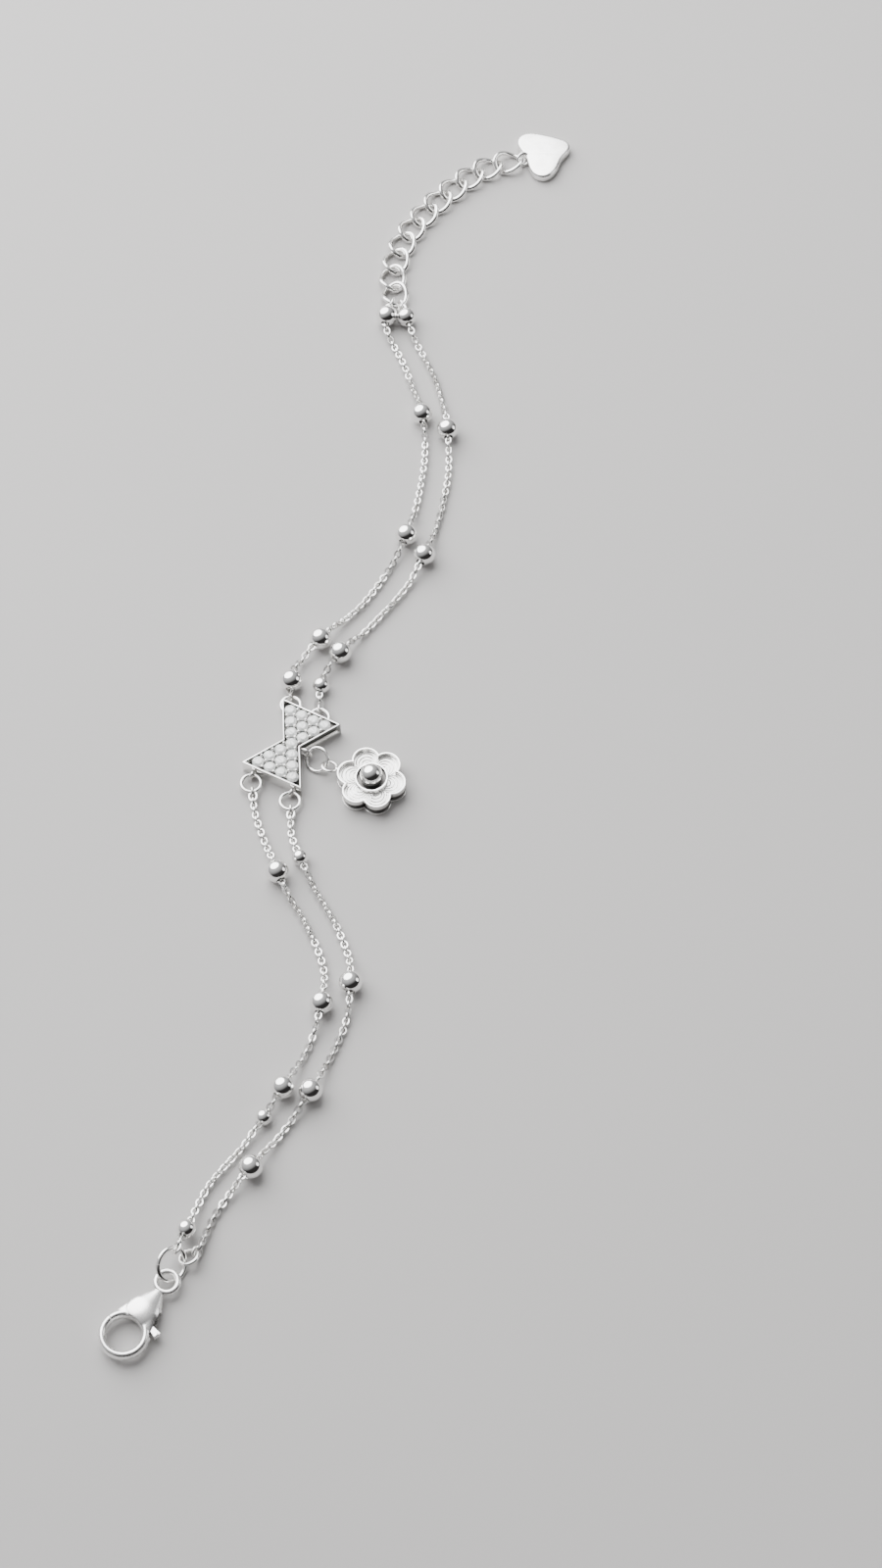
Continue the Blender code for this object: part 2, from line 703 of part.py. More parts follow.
def cut_stone(place, floor):
    """A stone with eight side facets and a table, its foot in the tray's floor."""
    return tapered(place, floor - OVERLAP, PLATE_H + STONE_RISE, STONE_D, TABLE_SHARE, STONE_SIDES, "stone")


def prong(place, floor):
    """A short prong, its foot in the tray's floor."""
    return tapered(place, floor - OVERLAP, PLATE_H + PRONG_RISE, PRONG_D, 0.5, PRONG_SIDES, "prong")


def flat_way(turn):
    return Vector((math.cos(turn), math.sin(turn), 0.0))


def rolled(way, roll):
    """Normal of a ring that lies along way and is rolled about it, its left side up."""
    return UP * math.cos(roll) - UP.cross(way) * math.sin(roll)


def soldered_loop(place, turn, held_wire, skew=0.0):
    """An upright wire loop whose plane runs along the direction turn; its far wire can be hung on."""
    radius = loop_radius(held_wire, LOOP_WIRE, skew)
    way = flat_way(turn)
    tool = ring(2.0 * radius + LOOP_WIRE, LOOP_WIRE)
    tool.data.transform(frame_of(place, way, UP.cross(way)))
    return tool, Held(place + radius * way, UP, LOOP_WIRE)


def neck(start, end, radius):
    """A short soldered rod."""
    return wire([start, end], radius)


def build_plate():
    """The stone plate, soldered into one piece, and the wires that its rings hang on."""
    floor = PLATE_H - TRAY_DEPTH
    plate = adopt(slab(bow_outline(0.0), 0.0, PLATE_H), "stone_plate", silver("plate"))
    stand(plate, level(PLATE_PLACE, 0.0), (0.0, 0.0, PLATE_TURN))
    combine(plate, slab(bow_outline(PLATE_RIM), floor, PLATE_H + OVERLAP), "DIFFERENCE", "stone_tray")
    stones = triangle_lattice()
    combine(plate, join_meshes([cut_stone(place, floor) for place in stones]), "UNION", "plate_stones")
    prongs = join_meshes([prong(place, floor) for place in prong_places(stones)])
    combine(plate, prongs, "UNION", "plate_prongs")
    centres = []
    low = RING_Z - PLATE_RING_WIRE / 2.0 - POCKET_PLAY
    high = RING_Z + PLATE_RING_WIRE / 2.0 + POCKET_PLAY
    reach = PLATE_RING_D / 2.0 + POCKET_PLAY
    for number, offset in enumerate(UPPER_RING_OFFSETS, 1):
        centre = (offset, PLATE_HALF_LENGTH + UPPER_RING_OUT)
        pocket = slab(circle(reach, POCKET_SIDES, centre), low, high)
        combine(plate, pocket, "DIFFERENCE", "ring_pocket_%d" % number)
        post = rod(POST_D / 2.0, low - OVERLAP, high + OVERLAP, POST_SIDES)
        post.data.transform(Matrix.Translation((offset, PLATE_HALF_LENGTH - POST_IN, 0.0)))
        combine(plate, post, "UNION", "ring_post_%d" % number)
        centres.append(Vector((*centre, RING_Z)))
    held = []
    for number, offset in enumerate(LOWER_RING_OFFSETS, 1):
        place = Vector((offset, -PLATE_HALF_LENGTH - LOOP_OUT, RING_Z))
        tool, far = soldered_loop(place, -math.pi / 2.0, PLATE_RING_WIRE)
        combine(plate, tool, "UNION", "lower_loop_%d" % number)
        held.append(far)
    place = Vector((PLATE_WAIST + LOOP_OUT + CHARM_NECK, 0.0, CHARM_Z))
    tool, far = soldered_loop(place, 0.0, CHARM_RING_WIRE, CHARM_ROLL)
    combine(plate, tool, "UNION", "charm_loop")
    start = Vector((PLATE_WAIST - OVERLAP, 0.0, CHARM_Z))
    combine(plate, neck(start, 2.0 * place - far.point, LOOP_WIRE / 2.0 + OVERLAP), "UNION", "charm_neck")
    held.append(far)
    matrix = Matrix.Translation(level(PLATE_PLACE, 0.0)) @ Matrix.Rotation(PLATE_TURN, 4, "Z")
    for item in held:
        item.point = matrix @ item.point
    return [matrix @ centre for centre in centres], held


def petal_outline(inset):
    """Outline of the flower, moved in by inset; round stretches of one circle for each petal."""
    radius = PETAL_R - inset
    turn = PETAL_HALF + math.asin(min(1.0, PETAL_REACH * math.sin(PETAL_HALF) / radius))
    outline = []
    for k in range(PETALS):
        angle = 2.0 * PETAL_HALF * k
        outline += arc(radius, angle - turn, angle + turn, PETAL_SIDES, polar(PETAL_REACH, angle))
    return [point for point, before in zip(outline, outline[-1:] + outline[:-1]) if math.dist(point, before) > HAIR]


def build_flower(held):
    """The flower charm with its cup, ball and flat loop, hung from the charm ring."""
    way = flat_way(FLOWER_WAY)
    loop_r = (FLOWER_LOOP_D - FLOWER_LOOP_WIRE) / 2.0
    reach = loop_r - (held.thickness + FLOWER_LOOP_WIRE) / 2.0 - LOOSE
    loop_place = held.point + reach * way
    centre = level(loop_place + FLOWER_REACH * way, 0.0)
    flower = adopt(slab(petal_outline(FLANGE_INSET), OVERLAP, FLOWER_H - OVERLAP), "flower_charm", silver("flower"))
    top = slab(petal_outline(0.0), FLOWER_H - PETAL_DEPTH - FLANGE_H, FLOWER_H)
    combine(flower, top, "UNION", "petal_flange")
    base = slab(petal_outline(0.0), 0.0, FLANGE_H)
    combine(flower, base, "UNION", "base_flange")
    combine(flower, slab(petal_outline(PETAL_RIM), FLOWER_H - PETAL_DEPTH, FLOWER_H + OVERLAP), "DIFFERENCE",
            "petal_tray")
    step = slab(petal_outline(PETAL_RIM + PETAL_STEP), FLOWER_H - PETAL_DEPTH - OVERLAP,
                FLOWER_H - PETAL_DEPTH / 2.0)
    combine(flower, step, "UNION", "petal_step")
    cup_floor = FLOWER_H - PETAL_DEPTH
    cup = rod(CUP_D / 2.0, cup_floor - OVERLAP, FLOWER_H + CUP_RISE, CUP_SIDES)
    combine(flower, cup, "UNION", "cup")
    bowl = rod(CUP_D / 2.0 - CUP_WALL, cup_floor - BOWL_DEPTH, FLOWER_H + CUP_RISE + OVERLAP, CUP_SIDES)
    combine(flower, bowl, "DIFFERENCE", "cup_bowl")
    bpy.ops.mesh.primitive_uv_sphere_add(segments=BALL_SIDES, ring_count=BALL_RINGS, radius=BALL_D / 2.0)
    ball = bpy.context.object
    ball.data.transform(Matrix.Translation((0.0, 0.0, FLOWER_H + CUP_RISE + BALL_LIFT)))
    combine(flower, ball, "UNION", "ball")
    inward = Matrix.Rotation(-FLOWER_TURN, 4, "Z")
    loop = ring(FLOWER_LOOP_D, FLOWER_LOOP_WIRE)
    loop.data.transform(inward @ frame_of(loop_place - centre, way, rolled(way, -FLOWER_LOOP_ROLL)))
    combine(flower, loop, "UNION", "flower_loop")
    start = inward @ (loop_place + loop_r * way - centre)
    end = inward @ (UP * held.point.z - NECK_ROOT * way)
    combine(flower, neck(start, end, LOOP_WIRE / 2.0 + OVERLAP), "UNION", "flower_neck")
    stand(flower, centre, (0.0, 0.0, FLOWER_TURN))


def tag_outline():
    """Outline of the plain tag: a round blank with three soft lobes."""
    outline = []
    for k in range(TAG_SIDES):
        degrees = 360.0 * k / TAG_SIDES
        radius = TAG_WAIST
        for place, share, width in TAG_LOBES:
            away = (degrees - place + 180.0) % 360.0 - 180.0
            radius += TAG_WAIST * (share - 1.0) * math.exp(-(away / width) ** 2)
        outline.append(polar(radius, math.radians(degrees)))
    return outline


def build_tag(held):
    """The end tag, its soldered loop round the last link's end."""
    way = flat_way(TAG_WAY)
    loop_r = (TAG_LOOP_D - TAG_LOOP_WIRE) / 2.0
    reach = loop_r - (held.thickness + TAG_LOOP_WIRE) / 2.0 - LOOSE
    loop_place = held.point + reach * way
    centre = level(loop_place + TAG_REACH * way, 0.0)
    tag = adopt(slab(tag_outline(), 0.0, TAG_H), "end_tag", silver("tag"))
    round_edges(tag, TAG_EDGE, 2, 60.0)
    loop = ring(TAG_LOOP_D, TAG_LOOP_WIRE)
    loop.data.transform(frame_of(loop_place - centre, way, rolled(way, -TAG_LOOP_ROLL)))
    combine(tag, loop, "UNION", "tag_loop")
    smooth_shade(tag)
    tag.location = centre


def teardrop():
    """The clasp's body: a round and a small end with straight sides between, turned about its length."""
    big = CLASP_BODY_W / 2.0
    small = CLASP_TIP_D / 2.0
    between = CLASP_REACH - CLASP_LOOP_D / 2.0 - CLASP_BODY_SEAT
    lean = math.acos((big - small) / between)
    outline = [(small * math.sin(lean * k / 3.0), between + small * math.cos(lean * k / 3.0)) for k in range(4)]
    steps = 8
    for k in range(steps + 1):
        angle = lean + (math.pi - lean) * k / steps
        outline.append((big * math.sin(angle), big * math.cos(angle)))
    outline[-1] = (0.0, -big)
    bm = bmesh.new()
    points = [bm.verts.new((x, 0.0, z)) for x, z in outline]
    for a, b in zip(points, points[1:]):
        bm.edges.new((a, b))
    mesh = bpy.data.meshes.new("body")
    bm.to_mesh(mesh)
    bm.free()
    obj = bpy.data.objects.new("body", mesh)
    bpy.context.scene.collection.objects.link(obj)
    turn = obj.modifiers.new("turned", "SCREW")
    turn.steps = BODY_SIDES
    turn.render_steps = BODY_SIDES
    turn.use_merge_vertices = True
    turn.merge_threshold = 0.001 * MM
    solid = mesh_from_curve(obj)
    flatten = Matrix.Diagonal((1.0, 1.0, CLASP_BODY_H / CLASP_BODY_W, 1.0))
    solid.data.transform(Matrix.Translation((CLASP_BODY_SEAT, 0.0, 0.0)) @ flatten
                         @ Matrix.Rotation(math.pi / 2.0, 4, "Y"))
    return solid


def lever_slot():
    """Outline of the slot in the clasp's body: room for the hub, the gate's arm and the thumb tab."""
    outline = []
    hub = HUB_D / 2.0 + LEVER_PLAY
    arm = GATE_NEAR + OVERLAP
    through = TAB_REACH + CLASP_BODY_W / 4.0
    gate = (GATE_START + ARM_MARGIN - SLOT_MARGIN, GATE_END + OPEN_ANGLE + SLOT_MARGIN / 2.0)
    tab = (TAB_ANGLE - TAB_HALF_ANGLE - SLOT_MARGIN, TAB_ANGLE + TAB_HALF_ANGLE + OPEN_ANGLE + SLOT_MARGIN)
    outline += arc(arm, gate[0], gate[1], 9, PIN_PLACE)
    outline += arc(hub, gate[1], tab[0], 5, PIN_PLACE)
    outline += arc(through, tab[0], tab[1], 6, PIN_PLACE)
    outline += arc(hub, tab[1], gate[0] + 2.0 * math.pi, 11, PIN_PLACE)
    return outline


def meeting_angle(reach, radius):
    """Direction from the pin of the upper place where a circle about it meets one about the hook's middle."""
    cosine = (reach ** 2 + PIN_DISTANCE ** 2 - radius ** 2) / (2.0 * reach * PIN_DISTANCE)
    return math.pi + PIN_ANGLE - math.acos(cosine)


def build_clasp_body():
    """Hook, body, pin and loop of the lobster clasp, cast in one."""
    body = adopt(teardrop(), "clasp_body", silver("clasp", 0.1))
    stand(body, level(HOOK_PLACE, CLASP_Z), (0.0, 0.0, CLASP_TURN))
    tall = CLASP_BODY_H
    combine(body, rod(HOOK_R + 2.0 * OVERLAP, -tall, tall, HOOK_SIDES), "DIFFERENCE", "hook_hole")
    hook = ring(2.0 * HOOK_R + 2.0 * HOOK_LIMB, HOOK_LIMB, HOOK_SIDES, LIMB_SIDES)
    hook.data.transform(Matrix.Diagonal((1.0, 1.0, HOOK_H / HOOK_LIMB, 1.0)))
    combine(body, hook, "UNION", "hook")
    loop = ring(CLASP_LOOP_D, CLASP_LOOP_WIRE, CLASP_LOOP_SIDES)
    loop.data.transform(Matrix.Translation((CLASP_REACH, 0.0, 0.0)))
    combine(body, loop, "UNION", "clasp_loop")
    gap = slab(pie(PIN_PLACE, GATE_NEAR - LOOSE, GATE_FAR + LOOSE, GATE_START - 2.0 * ARM_MARGIN,
                   GATE_END + OPEN_ANGLE + SLOT_MARGIN, 12), -tall, tall)
    combine(body, gap, "DIFFERENCE", "gate_gap")
    slot_h = LEVER_H / 2.0 + LEVER_PLAY
    combine(body, slab(lever_slot(), -slot_h, slot_h), "DIFFERENCE", "lever_slot")
    pin = rod(PIN_D / 2.0, -slot_h - 2.0 * OVERLAP, slot_h + 2.0 * OVERLAP, PIN_SIDES)
    pin.data.transform(Matrix.Translation((*PIN_PLACE, 0.0)))
    combine(body, pin, "UNION", "pin")
    smooth_shade(body)


def build_clasp_lever():
    """The gate with its arm, hub and thumb tab; its origin is the pin's axis."""
    to_pin = Matrix.Translation((-PIN_ALONG, -PIN_ASIDE, 0.0))
    near_end = meeting_angle(GATE_NEAR, HOOK_R)
    far_inner = meeting_angle(GATE_FAR, HOOK_R)
    far_outer = meeting_angle(GATE_FAR, HOOK_R + HOOK_LIMB)
    inner_start = polar(GATE_NEAR, near_end, PIN_PLACE)
    inner_end = polar(GATE_FAR, far_inner, PIN_PLACE)
    outline = arc(GATE_NEAR, GATE_START, near_end, 5, PIN_PLACE)
    outline += arc(HOOK_R, yaw_of(inner_start), yaw_of(inner_end), 6)[1:]
    outline += arc(GATE_FAR, far_inner, far_outer, 3, PIN_PLACE)[1:]
    lever = slab(outline, -GATE_H / 2.0, GATE_H / 2.0)
    lever.data.transform(to_pin)
    adopt(lever, "clasp_lever", silver("clasp", 0.1))
    round_edges(lever, GATE_EDGE, 2)
    half = LEVER_H / 2.0
    combine(lever, rod(HUB_D / 2.0, -half, half, HUB_SIDES), "UNION", "lever_hub")
    arm = pie((0.0, 0.0), 0.0, GATE_NEAR + 2.0 * OVERLAP, GATE_START + 2.0 * ARM_MARGIN, GATE_END, 5)
    combine(lever, slab(arm, -half + HAIR, half - HAIR), "UNION", "gate_arm")
    tab = pie((0.0, 0.0), 0.0, TAB_REACH, TAB_ANGLE - TAB_HALF_ANGLE, TAB_ANGLE + TAB_HALF_ANGLE, 2)
    combine(lever, slab(tab, -half + 2.0 * HAIR, half - 2.0 * HAIR), "UNION", "tab_arm")
    grip = pie((0.0, 0.0), TAB_REACH - TAB_GRIP, TAB_REACH + OVERLAP, TAB_ANGLE - GRIP_SPREAD * TAB_HALF_ANGLE,
               TAB_ANGLE + GRIP_SPREAD * TAB_HALF_ANGLE, 3)
    combine(lever, slab(grip, -GATE_H / 2.0, GATE_H / 2.0), "UNION", "tab_grip")
    combine(lever, rod(PIN_D / 2.0 + LEVER_PLAY, -GATE_H, GATE_H, BORE_SIDES), "DIFFERENCE", "lever_bore")
    smooth_shade(lever)
    turn = Matrix.Rotation(CLASP_TURN, 4, "Z")
    stand(lever, level(HOOK_PLACE, CLASP_Z) + turn @ Vector((PIN_ALONG, PIN_ASIDE, 0.0)), (0.0, 0.0, CLASP_TURN))


def build_clasp_end():
    """The ring in the clasp's loop and the link beside it; returns the wires that the lower strands hold."""
    along = flat_way(CLASP_TURN)
    aside = UP.cross(along)
    loop_far = level(HOOK_PLACE, 0.0) + (CLASP_REACH + CLASP_LOOP_R) * along
    centre = loop_far + CLASP_RING_R * (CLASP_RING_ALONG * along + CLASP_RING_ASIDE * aside)
    centre.z = CLASP_RING_R * math.sin(CLASP_RING_ROLL) + CLASP_RING_WIRE / 2.0
    way = flat_way(CLASP_RING_WAY)
    matrix = frame_of(centre, way, rolled(way, CLASP_RING_ROLL))
    make_ring("clasp_ring", matrix, CLASP_RING_D, CLASP_RING_WIRE)
    upper = ring_wire(matrix, CLASP_RING_R, CLASP_RING_WIRE, CLASP_RING_HOLDS[0])
    upper.skew = FIRST_HOLDS
    lower = ring_wire(matrix, CLASP_RING_R, CLASP_RING_WIRE, CLASP_RING_HOLDS[1])
    normal = lower.along + CONNECTOR_LEAN * UP
    matrix, far = hang(lower, flat_way(CONNECTOR_WAY), CONNECTOR_D, CONNECTOR_WIRE, normal)
    far.skew = FIRST_HOLDS
    make_ring("connector_link", matrix, CONNECTOR_D, CONNECTOR_WIRE)
    return upper, far


def settle():
    """Move the whole anklet so that it stands on z = 0 with the origin under the middle of its box."""
    bpy.context.view_layer.update()
    graph = bpy.context.evaluated_depsgraph_get()
    corners = []
    for obj in PARTS.objects:
        shape = obj.evaluated_get(graph)
        corners += [shape.matrix_world @ vertex.co for vertex in shape.data.vertices]
    low = [min(corner[k] for corner in corners) for k in range(3)]
    high = [max(corner[k] for corner in corners) for k in range(3)]
    ANKLET.location = (-(low[0] + high[0]) / 2.0, -(low[1] + high[1]) / 2.0, -low[2])
    bpy.context.view_layer.update()


clear_scene()
PARTS = make_collection("charm_anklet")
TOOLS = make_collection("tools")
ANKLET = bpy.data.objects.new("anklet", None)
bpy.context.scene.collection.objects.link(ANKLET)

ring_centres, loops = build_plate()
plate_up = flat_way(PLATE_TURN + math.pi / 2.0)
strand_ends = []
for number, centre in enumerate(ring_centres, 1):
    placed = frame_of(centre, plate_up, UP)
    make_ring("plate_ring_%d" % number, placed, PLATE_RING_D, PLATE_RING_WIRE)
    strand_ends.append(ring_wire(placed, PLATE_RING_R, PLATE_RING_WIRE, UPPER_RING_HOLDS))
for number, (loop, name) in enumerate(zip(loops, ("lower_left", "lower_right")), 3):
    start = Vector(ROUTES[name][0]) * MM
    placed, far = hang(loop, way_to(loop, start), PLATE_RING_D, PLATE_RING_WIRE)
    make_ring("plate_ring_%d" % number, placed, PLATE_RING_D, PLATE_RING_WIRE)
    strand_ends.append(far)
charm_way = flat_way(CHARM_WAY)
placed, far = hang(loops[2], charm_way, CHARM_RING_D, CHARM_RING_WIRE, rolled(charm_way, CHARM_ROLL))
make_ring("charm_ring", placed, CHARM_RING_D, CHARM_RING_WIRE)
build_flower(far)

links = build_extender()
build_strand("upper_left", link_wire(links[0], math.pi - FIRST_HOLDS), strand_ends[0])
build_strand("upper_right", link_wire(links[0], math.pi + FIRST_HOLDS), strand_ends[1])
build_tag(link_wire(links[-1], 0.0))

build_clasp_body()
build_clasp_lever()
ring_end, connector_end = build_clasp_end()
build_strand("lower_left", strand_ends[2], ring_end)
build_strand("lower_right", strand_ends[3], connector_end)
settle()
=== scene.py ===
"""The charm anklet's finished looks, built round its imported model.

Each piece is modelled in millimetres about its own middle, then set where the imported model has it.
"""

import math

import bmesh
import bpy
from mathutils import Euler, Matrix, Vector


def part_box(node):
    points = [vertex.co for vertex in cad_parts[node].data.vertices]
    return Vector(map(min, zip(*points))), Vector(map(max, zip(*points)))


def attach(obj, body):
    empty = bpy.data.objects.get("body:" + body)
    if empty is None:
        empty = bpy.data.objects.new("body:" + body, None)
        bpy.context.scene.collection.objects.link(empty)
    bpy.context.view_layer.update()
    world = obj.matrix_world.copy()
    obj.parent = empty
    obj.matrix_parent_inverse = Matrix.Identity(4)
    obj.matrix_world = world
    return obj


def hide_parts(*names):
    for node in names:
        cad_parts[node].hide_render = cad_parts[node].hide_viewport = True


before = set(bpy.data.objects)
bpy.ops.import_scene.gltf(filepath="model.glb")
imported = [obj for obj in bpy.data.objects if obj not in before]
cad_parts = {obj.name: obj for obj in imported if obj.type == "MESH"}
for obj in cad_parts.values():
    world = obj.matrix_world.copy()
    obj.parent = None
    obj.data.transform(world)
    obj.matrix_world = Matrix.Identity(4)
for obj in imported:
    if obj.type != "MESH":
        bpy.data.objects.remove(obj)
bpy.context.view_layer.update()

MM = 0.001
UP = Vector((0.0, 0.0, 1.0))
TURN = 2.0 * math.pi
LOOSE = 0.12                      # play between a strand's beads and its ends
HAIR = 0.001                      # points closer than this are one

# Fine chain and beads. All sizes are in millimetres.
BEAD_D = 3.4
BEAD_LIP = 0.05
CHAIN_R = 0.625                   # how high the chain's middle lies where it rests
BORE_R = 0.66
END_WIRE = 0.44
END_GROW = 1.32                   # the first and last cable links are larger
CABLE_WIRE = 0.33                 # wire of the fine chain's links
CABLE_LENGTH = 1.43               # outside
CABLE_WIDTH = 1.22
SAG_REACH = 4.2                   # how far past a bead the chain comes down to rest
ALONG = 0.3                       # half of the stretch that gives a link its direction
ROLL_SWAY = (0.42, 0.21)          # slow roll of the links along the chain: radians, and radians per mm
ROLL_SHAKE = (0.12, 2.4)          # roll from link to link: radians, and radians per link

# Jump rings: outside diameter, wire
PLATE_RING = (3.46, 0.56)
CHARM_RING = (4.0, 0.5)
CLASP_RING = (5.2, 0.66)
CONNECTOR = (3.2, 0.6)
SEAM = math.radians(1.4)          # the fine gap where a ring was closed

# Extender links
LINK_WIRE = 0.8
LINK_HALF_LENGTH = 2.39
LINK_HALF_WIDTH = 1.95
LINK_TWIST = -1.303               # radians, from one end of a curb link to the other

# Stone plate, in its own frame: the upper edge is at +Y, the charm's side at +X
PLATE_PLACE = (-9.45, -12.7, 0.0)
PLATE_TURN = -0.473
PLATE_H = 2.5
PLATE_HALF = 6.188                # half of its length
PLATE_WAIST = 1.386               # half of its narrowest width
PLATE_RIM = 0.2
PLATE_FLARE = math.radians(30.0)  # lean of its sides
TRAY_DEPTH = 0.9
GALLERY_EDGE = 0.55               # the bands above and below the hollow in each slanted side
GALLERY_DEPTH = 0.45
STONE_PITCH = 1.92
STONE_ROWS = 3                    # on each side of the middle row
STONE_D = 1.8
STONE_SUNK = 0.12                 # girdle below the rim
# Facet rings of a stone: points, share of its radius, height, turn
STONE_CROWN = ((8, 0.58, 0.3, 0.0), (8, 0.8, 0.19, math.pi / 8.0))
STONE_GIRDLE = 0.05
STONE_CULET = (0.08, -0.68)       # share of its radius, height
PRONG_R = 0.16
PRONG_HEAD = 0.27
POST_SPOTS = (-3.75, 1.1)         # along the upper edge
POST_R = 0.28
POST_BACK = 0.4                   # from the edge inwards
NOTCH_R = 1.91                    # room for a ring in the upper edge
NOTCH_OUT = 0.37
NOTCH_HALF = 0.46                 # half of the room's height
LOOP_SPOTS = (-3.0, 3.6)          # along the lower edge
LOOP_WIRE = 0.42
LOOP_R = 0.67
LOOP_OUT = 0.46
SIDE_LOOP_R = 0.871
SIDE_LOOP_OUT = 0.96
SIDE_STEM_R = 0.31
RING_Z = 0.88
CHARM_Z = 1.327

# Flower charm
FLOWER_PLACE = (2.448, -18.558, 0.0)
FLOWER_TURN = math.radians(-15.0)
FLOWER_WAY = math.radians(-21.5)  # from the plate to the flower
FLOWER_REACH = 6.73               # from the flower's middle to its loop's
FLOWER_LOOP = (1.07, 0.46)        # radius, wire
FLOWER_LOOP_ROLL = math.radians(-20.0)
FLOWER_ARM_R = 0.3
PETALS = 6
PETAL_REACH = 3.1                 # from the flower's middle to a petal's
PETAL_R = 2.1
# Half sections of a petal and of the cup, as points of (radius, height)
PETAL_SECTION = [(0.0, 0.0), (2.1, 0.0), (2.1, 0.45), (1.8, 0.5), (1.8, 1.45), (2.1, 1.5), (2.1, 2.5),
                 (1.82, 2.5), (1.79, 1.75), (0.0, 1.75)]
CUP_SECTION = [(0.0, 1.2), (2.45, 1.2), (2.45, 2.54), (2.4, 2.6), (2.22, 2.6), (2.18, 2.54), (2.18, 1.92),
               (1.1, 1.9)]
CUP_ROOM = (2.3, 1.88, 3.0)       # cut out of the petals: radius, from and to height
BALL_Z = 3.15
BALL_R = 1.7
PETAL_ARCS = [(1.5, 0.12), (1.2, 0.36), (0.9, 0.6), (0.6, 0.8)]   # radius, and how far it moves to the cup
ARC_WIRE = 0.16
ARC_Z = 1.77

# End tag
TAG_PLACE = (30.074, 103.592, 0.0)
TAG_H = 1.5
TAG_EDGE = 0.42
TAG_WAIST = 3.2
TAG_WAY = math.radians(25.0)
TAG_REACH = 3.95                  # from the tag's middle to its loop's
TAG_LOOP = (0.95, 0.5)            # radius, wire
TAG_LOOP_Z = 0.944
TAG_LOOP_ROLL = math.radians(48.0)
TAG_LOBES = [(145.0, 1.6, 36.0), (15.0, 1.365, 29.0), (-95.0, 1.85, 36.0)]   # degrees, reach in waists, width

# Clasp, in its own frame: the hook's middle is at 0, the body and the loop are at +X
CLASP_PLACE = (-29.63, -104.01, 1.35)
CLASP_TURN = math.radians(54.1)
HOOK_HOLE_R = 2.36
HOOK_LIMB = 1.14
HOOK_H = 1.8
BODY_R = 2.6
BODY_H = 2.7
BODY_SEAT = 3.9
TIP_R = 0.7
CLASP_LOOP_AT = 9.25
CLASP_LOOP_R = 1.5
CLASP_LOOP_WIRE = 0.84
CLASP_NECK = 1.92                 # from the loop's middle to where the body's tip is rounded
SHOULDER_FROM = (4.1, 0.95)
SHOULDER_TO = (0.9, 2.85)
SHOULDER_R = (1.55, 0.6)
SHOULDER_FLAT = 0.78
CAST_GRAIN = 0.08
CAST_SMOOTHING = 14               # passes
PIN = Vector((3.6, 0.9, 0.0))
PIN_R = 0.35
# The gate and its room, between two rounds about the pin: inner, outer, first and last degree
GATE = (1.22, 3.44, 76.0, 200.0)
GATE_ROOM = (GATE[0] - 0.12, GATE[1] + 0.14, GATE[2] - 5.0, 196.0)
# Sectors about the pin: reach, half thickness, first and last degree, steps
HUB_SLOT = (1.7, 0.6, 83.0, 193.0, 20)
ARM_SLOT = (6.2, 0.6, 244.0, 298.0, 12)
WEB = (1.55, 0.44, 108.0, 156.0, 12)
ARM = (4.8, 0.43, 251.0, 262.0, 4)
GRIP = (4.36, 4.92, 0.5, 249.2, 259.6)   # inner, outer, half thickness, first and last degree
GRIP_EDGE = 0.16
# Rounds on the pin: radius, half height, sides
HUB_ROOM = (1.1, 0.6, 40)
HUB = (0.95, 0.45, 40)
PIN_BORE = (0.5, 2.0, 24)

# View and light
VIEW_ELEVATION = math.radians(60.0)
VIEW_DISTANCE = 451.1
VIEW_LENS = 70.0
VIEW_SENSOR = 36.0
VIEW_AIM = (12.695, -18.29, 0.0)
SOFTBOX_WAY = (-0.42, 0.55, 0.72)

# Rings: middle, turn about X, Y and Z, outside and wire, and where the seam is
RINGS = {
    "plate_ring_1": ((-9.801, -5.153, 0.88), (0.0, 0.0, 1.0978), PLATE_RING, 3.6),
    "plate_ring_2": ((-5.483, -7.363, 0.88), (0.0, 0.0, 1.0978), PLATE_RING, 2.4),
    "plate_ring_3": ((-15.326, -18.678, 0.88), (0.0, 0.0, -1.417), PLATE_RING, 1.2),
    "plate_ring_4": ((-9.506, -21.692, 0.88), (0.0, 0.0, -1.484), PLATE_RING, 5.2),
    "charm_ring": ((-5.651, -14.868, 1.327), (0.6632, 0.0, -0.644), CHARM_RING, 1.1),
    "clasp_ring": ((-23.611, -94.34, 2.069), (0.8727, 0.0, 1.0001), CLASP_RING, 2.2),
    "connector_link": ((-21.451, -92.912, 1.072), (-0.5212, 0.0, 0.6109), CONNECTOR, 4.3),
}

# Extender links: middle, and turn about X, Y and Z
LINKS = [
    ((5.15, 72.8, 1.183), (0.0, 0.0997, 1.6583)), ((4.772, 76.458, 0.944), (0.0, 0.0, 1.5744)),
    ((5.306, 80.091, 0.944), (0.0, 0.0, 1.3381)), ((6.315, 83.628, 0.944), (0.0, 0.0, 1.2253)),
    ((7.892, 86.948, 0.944), (0.0, 0.0, 1.0404)), ((9.927, 90.012, 0.944), (0.0, 0.0, 0.9439)),
    ((12.217, 92.891, 0.944), (0.0, 0.0, 0.853)), ((14.751, 95.559, 0.944), (0.0, 0.0, 0.7724)),
    ((17.491, 98.013, 0.944), (0.0, 0.0, 0.6726)), ((20.558, 100.037, 0.944), (0.0, 0.0, 0.4763)),
    ((24.003, 101.306, 0.944), (0.0, 0.0, 0.2279)),
]

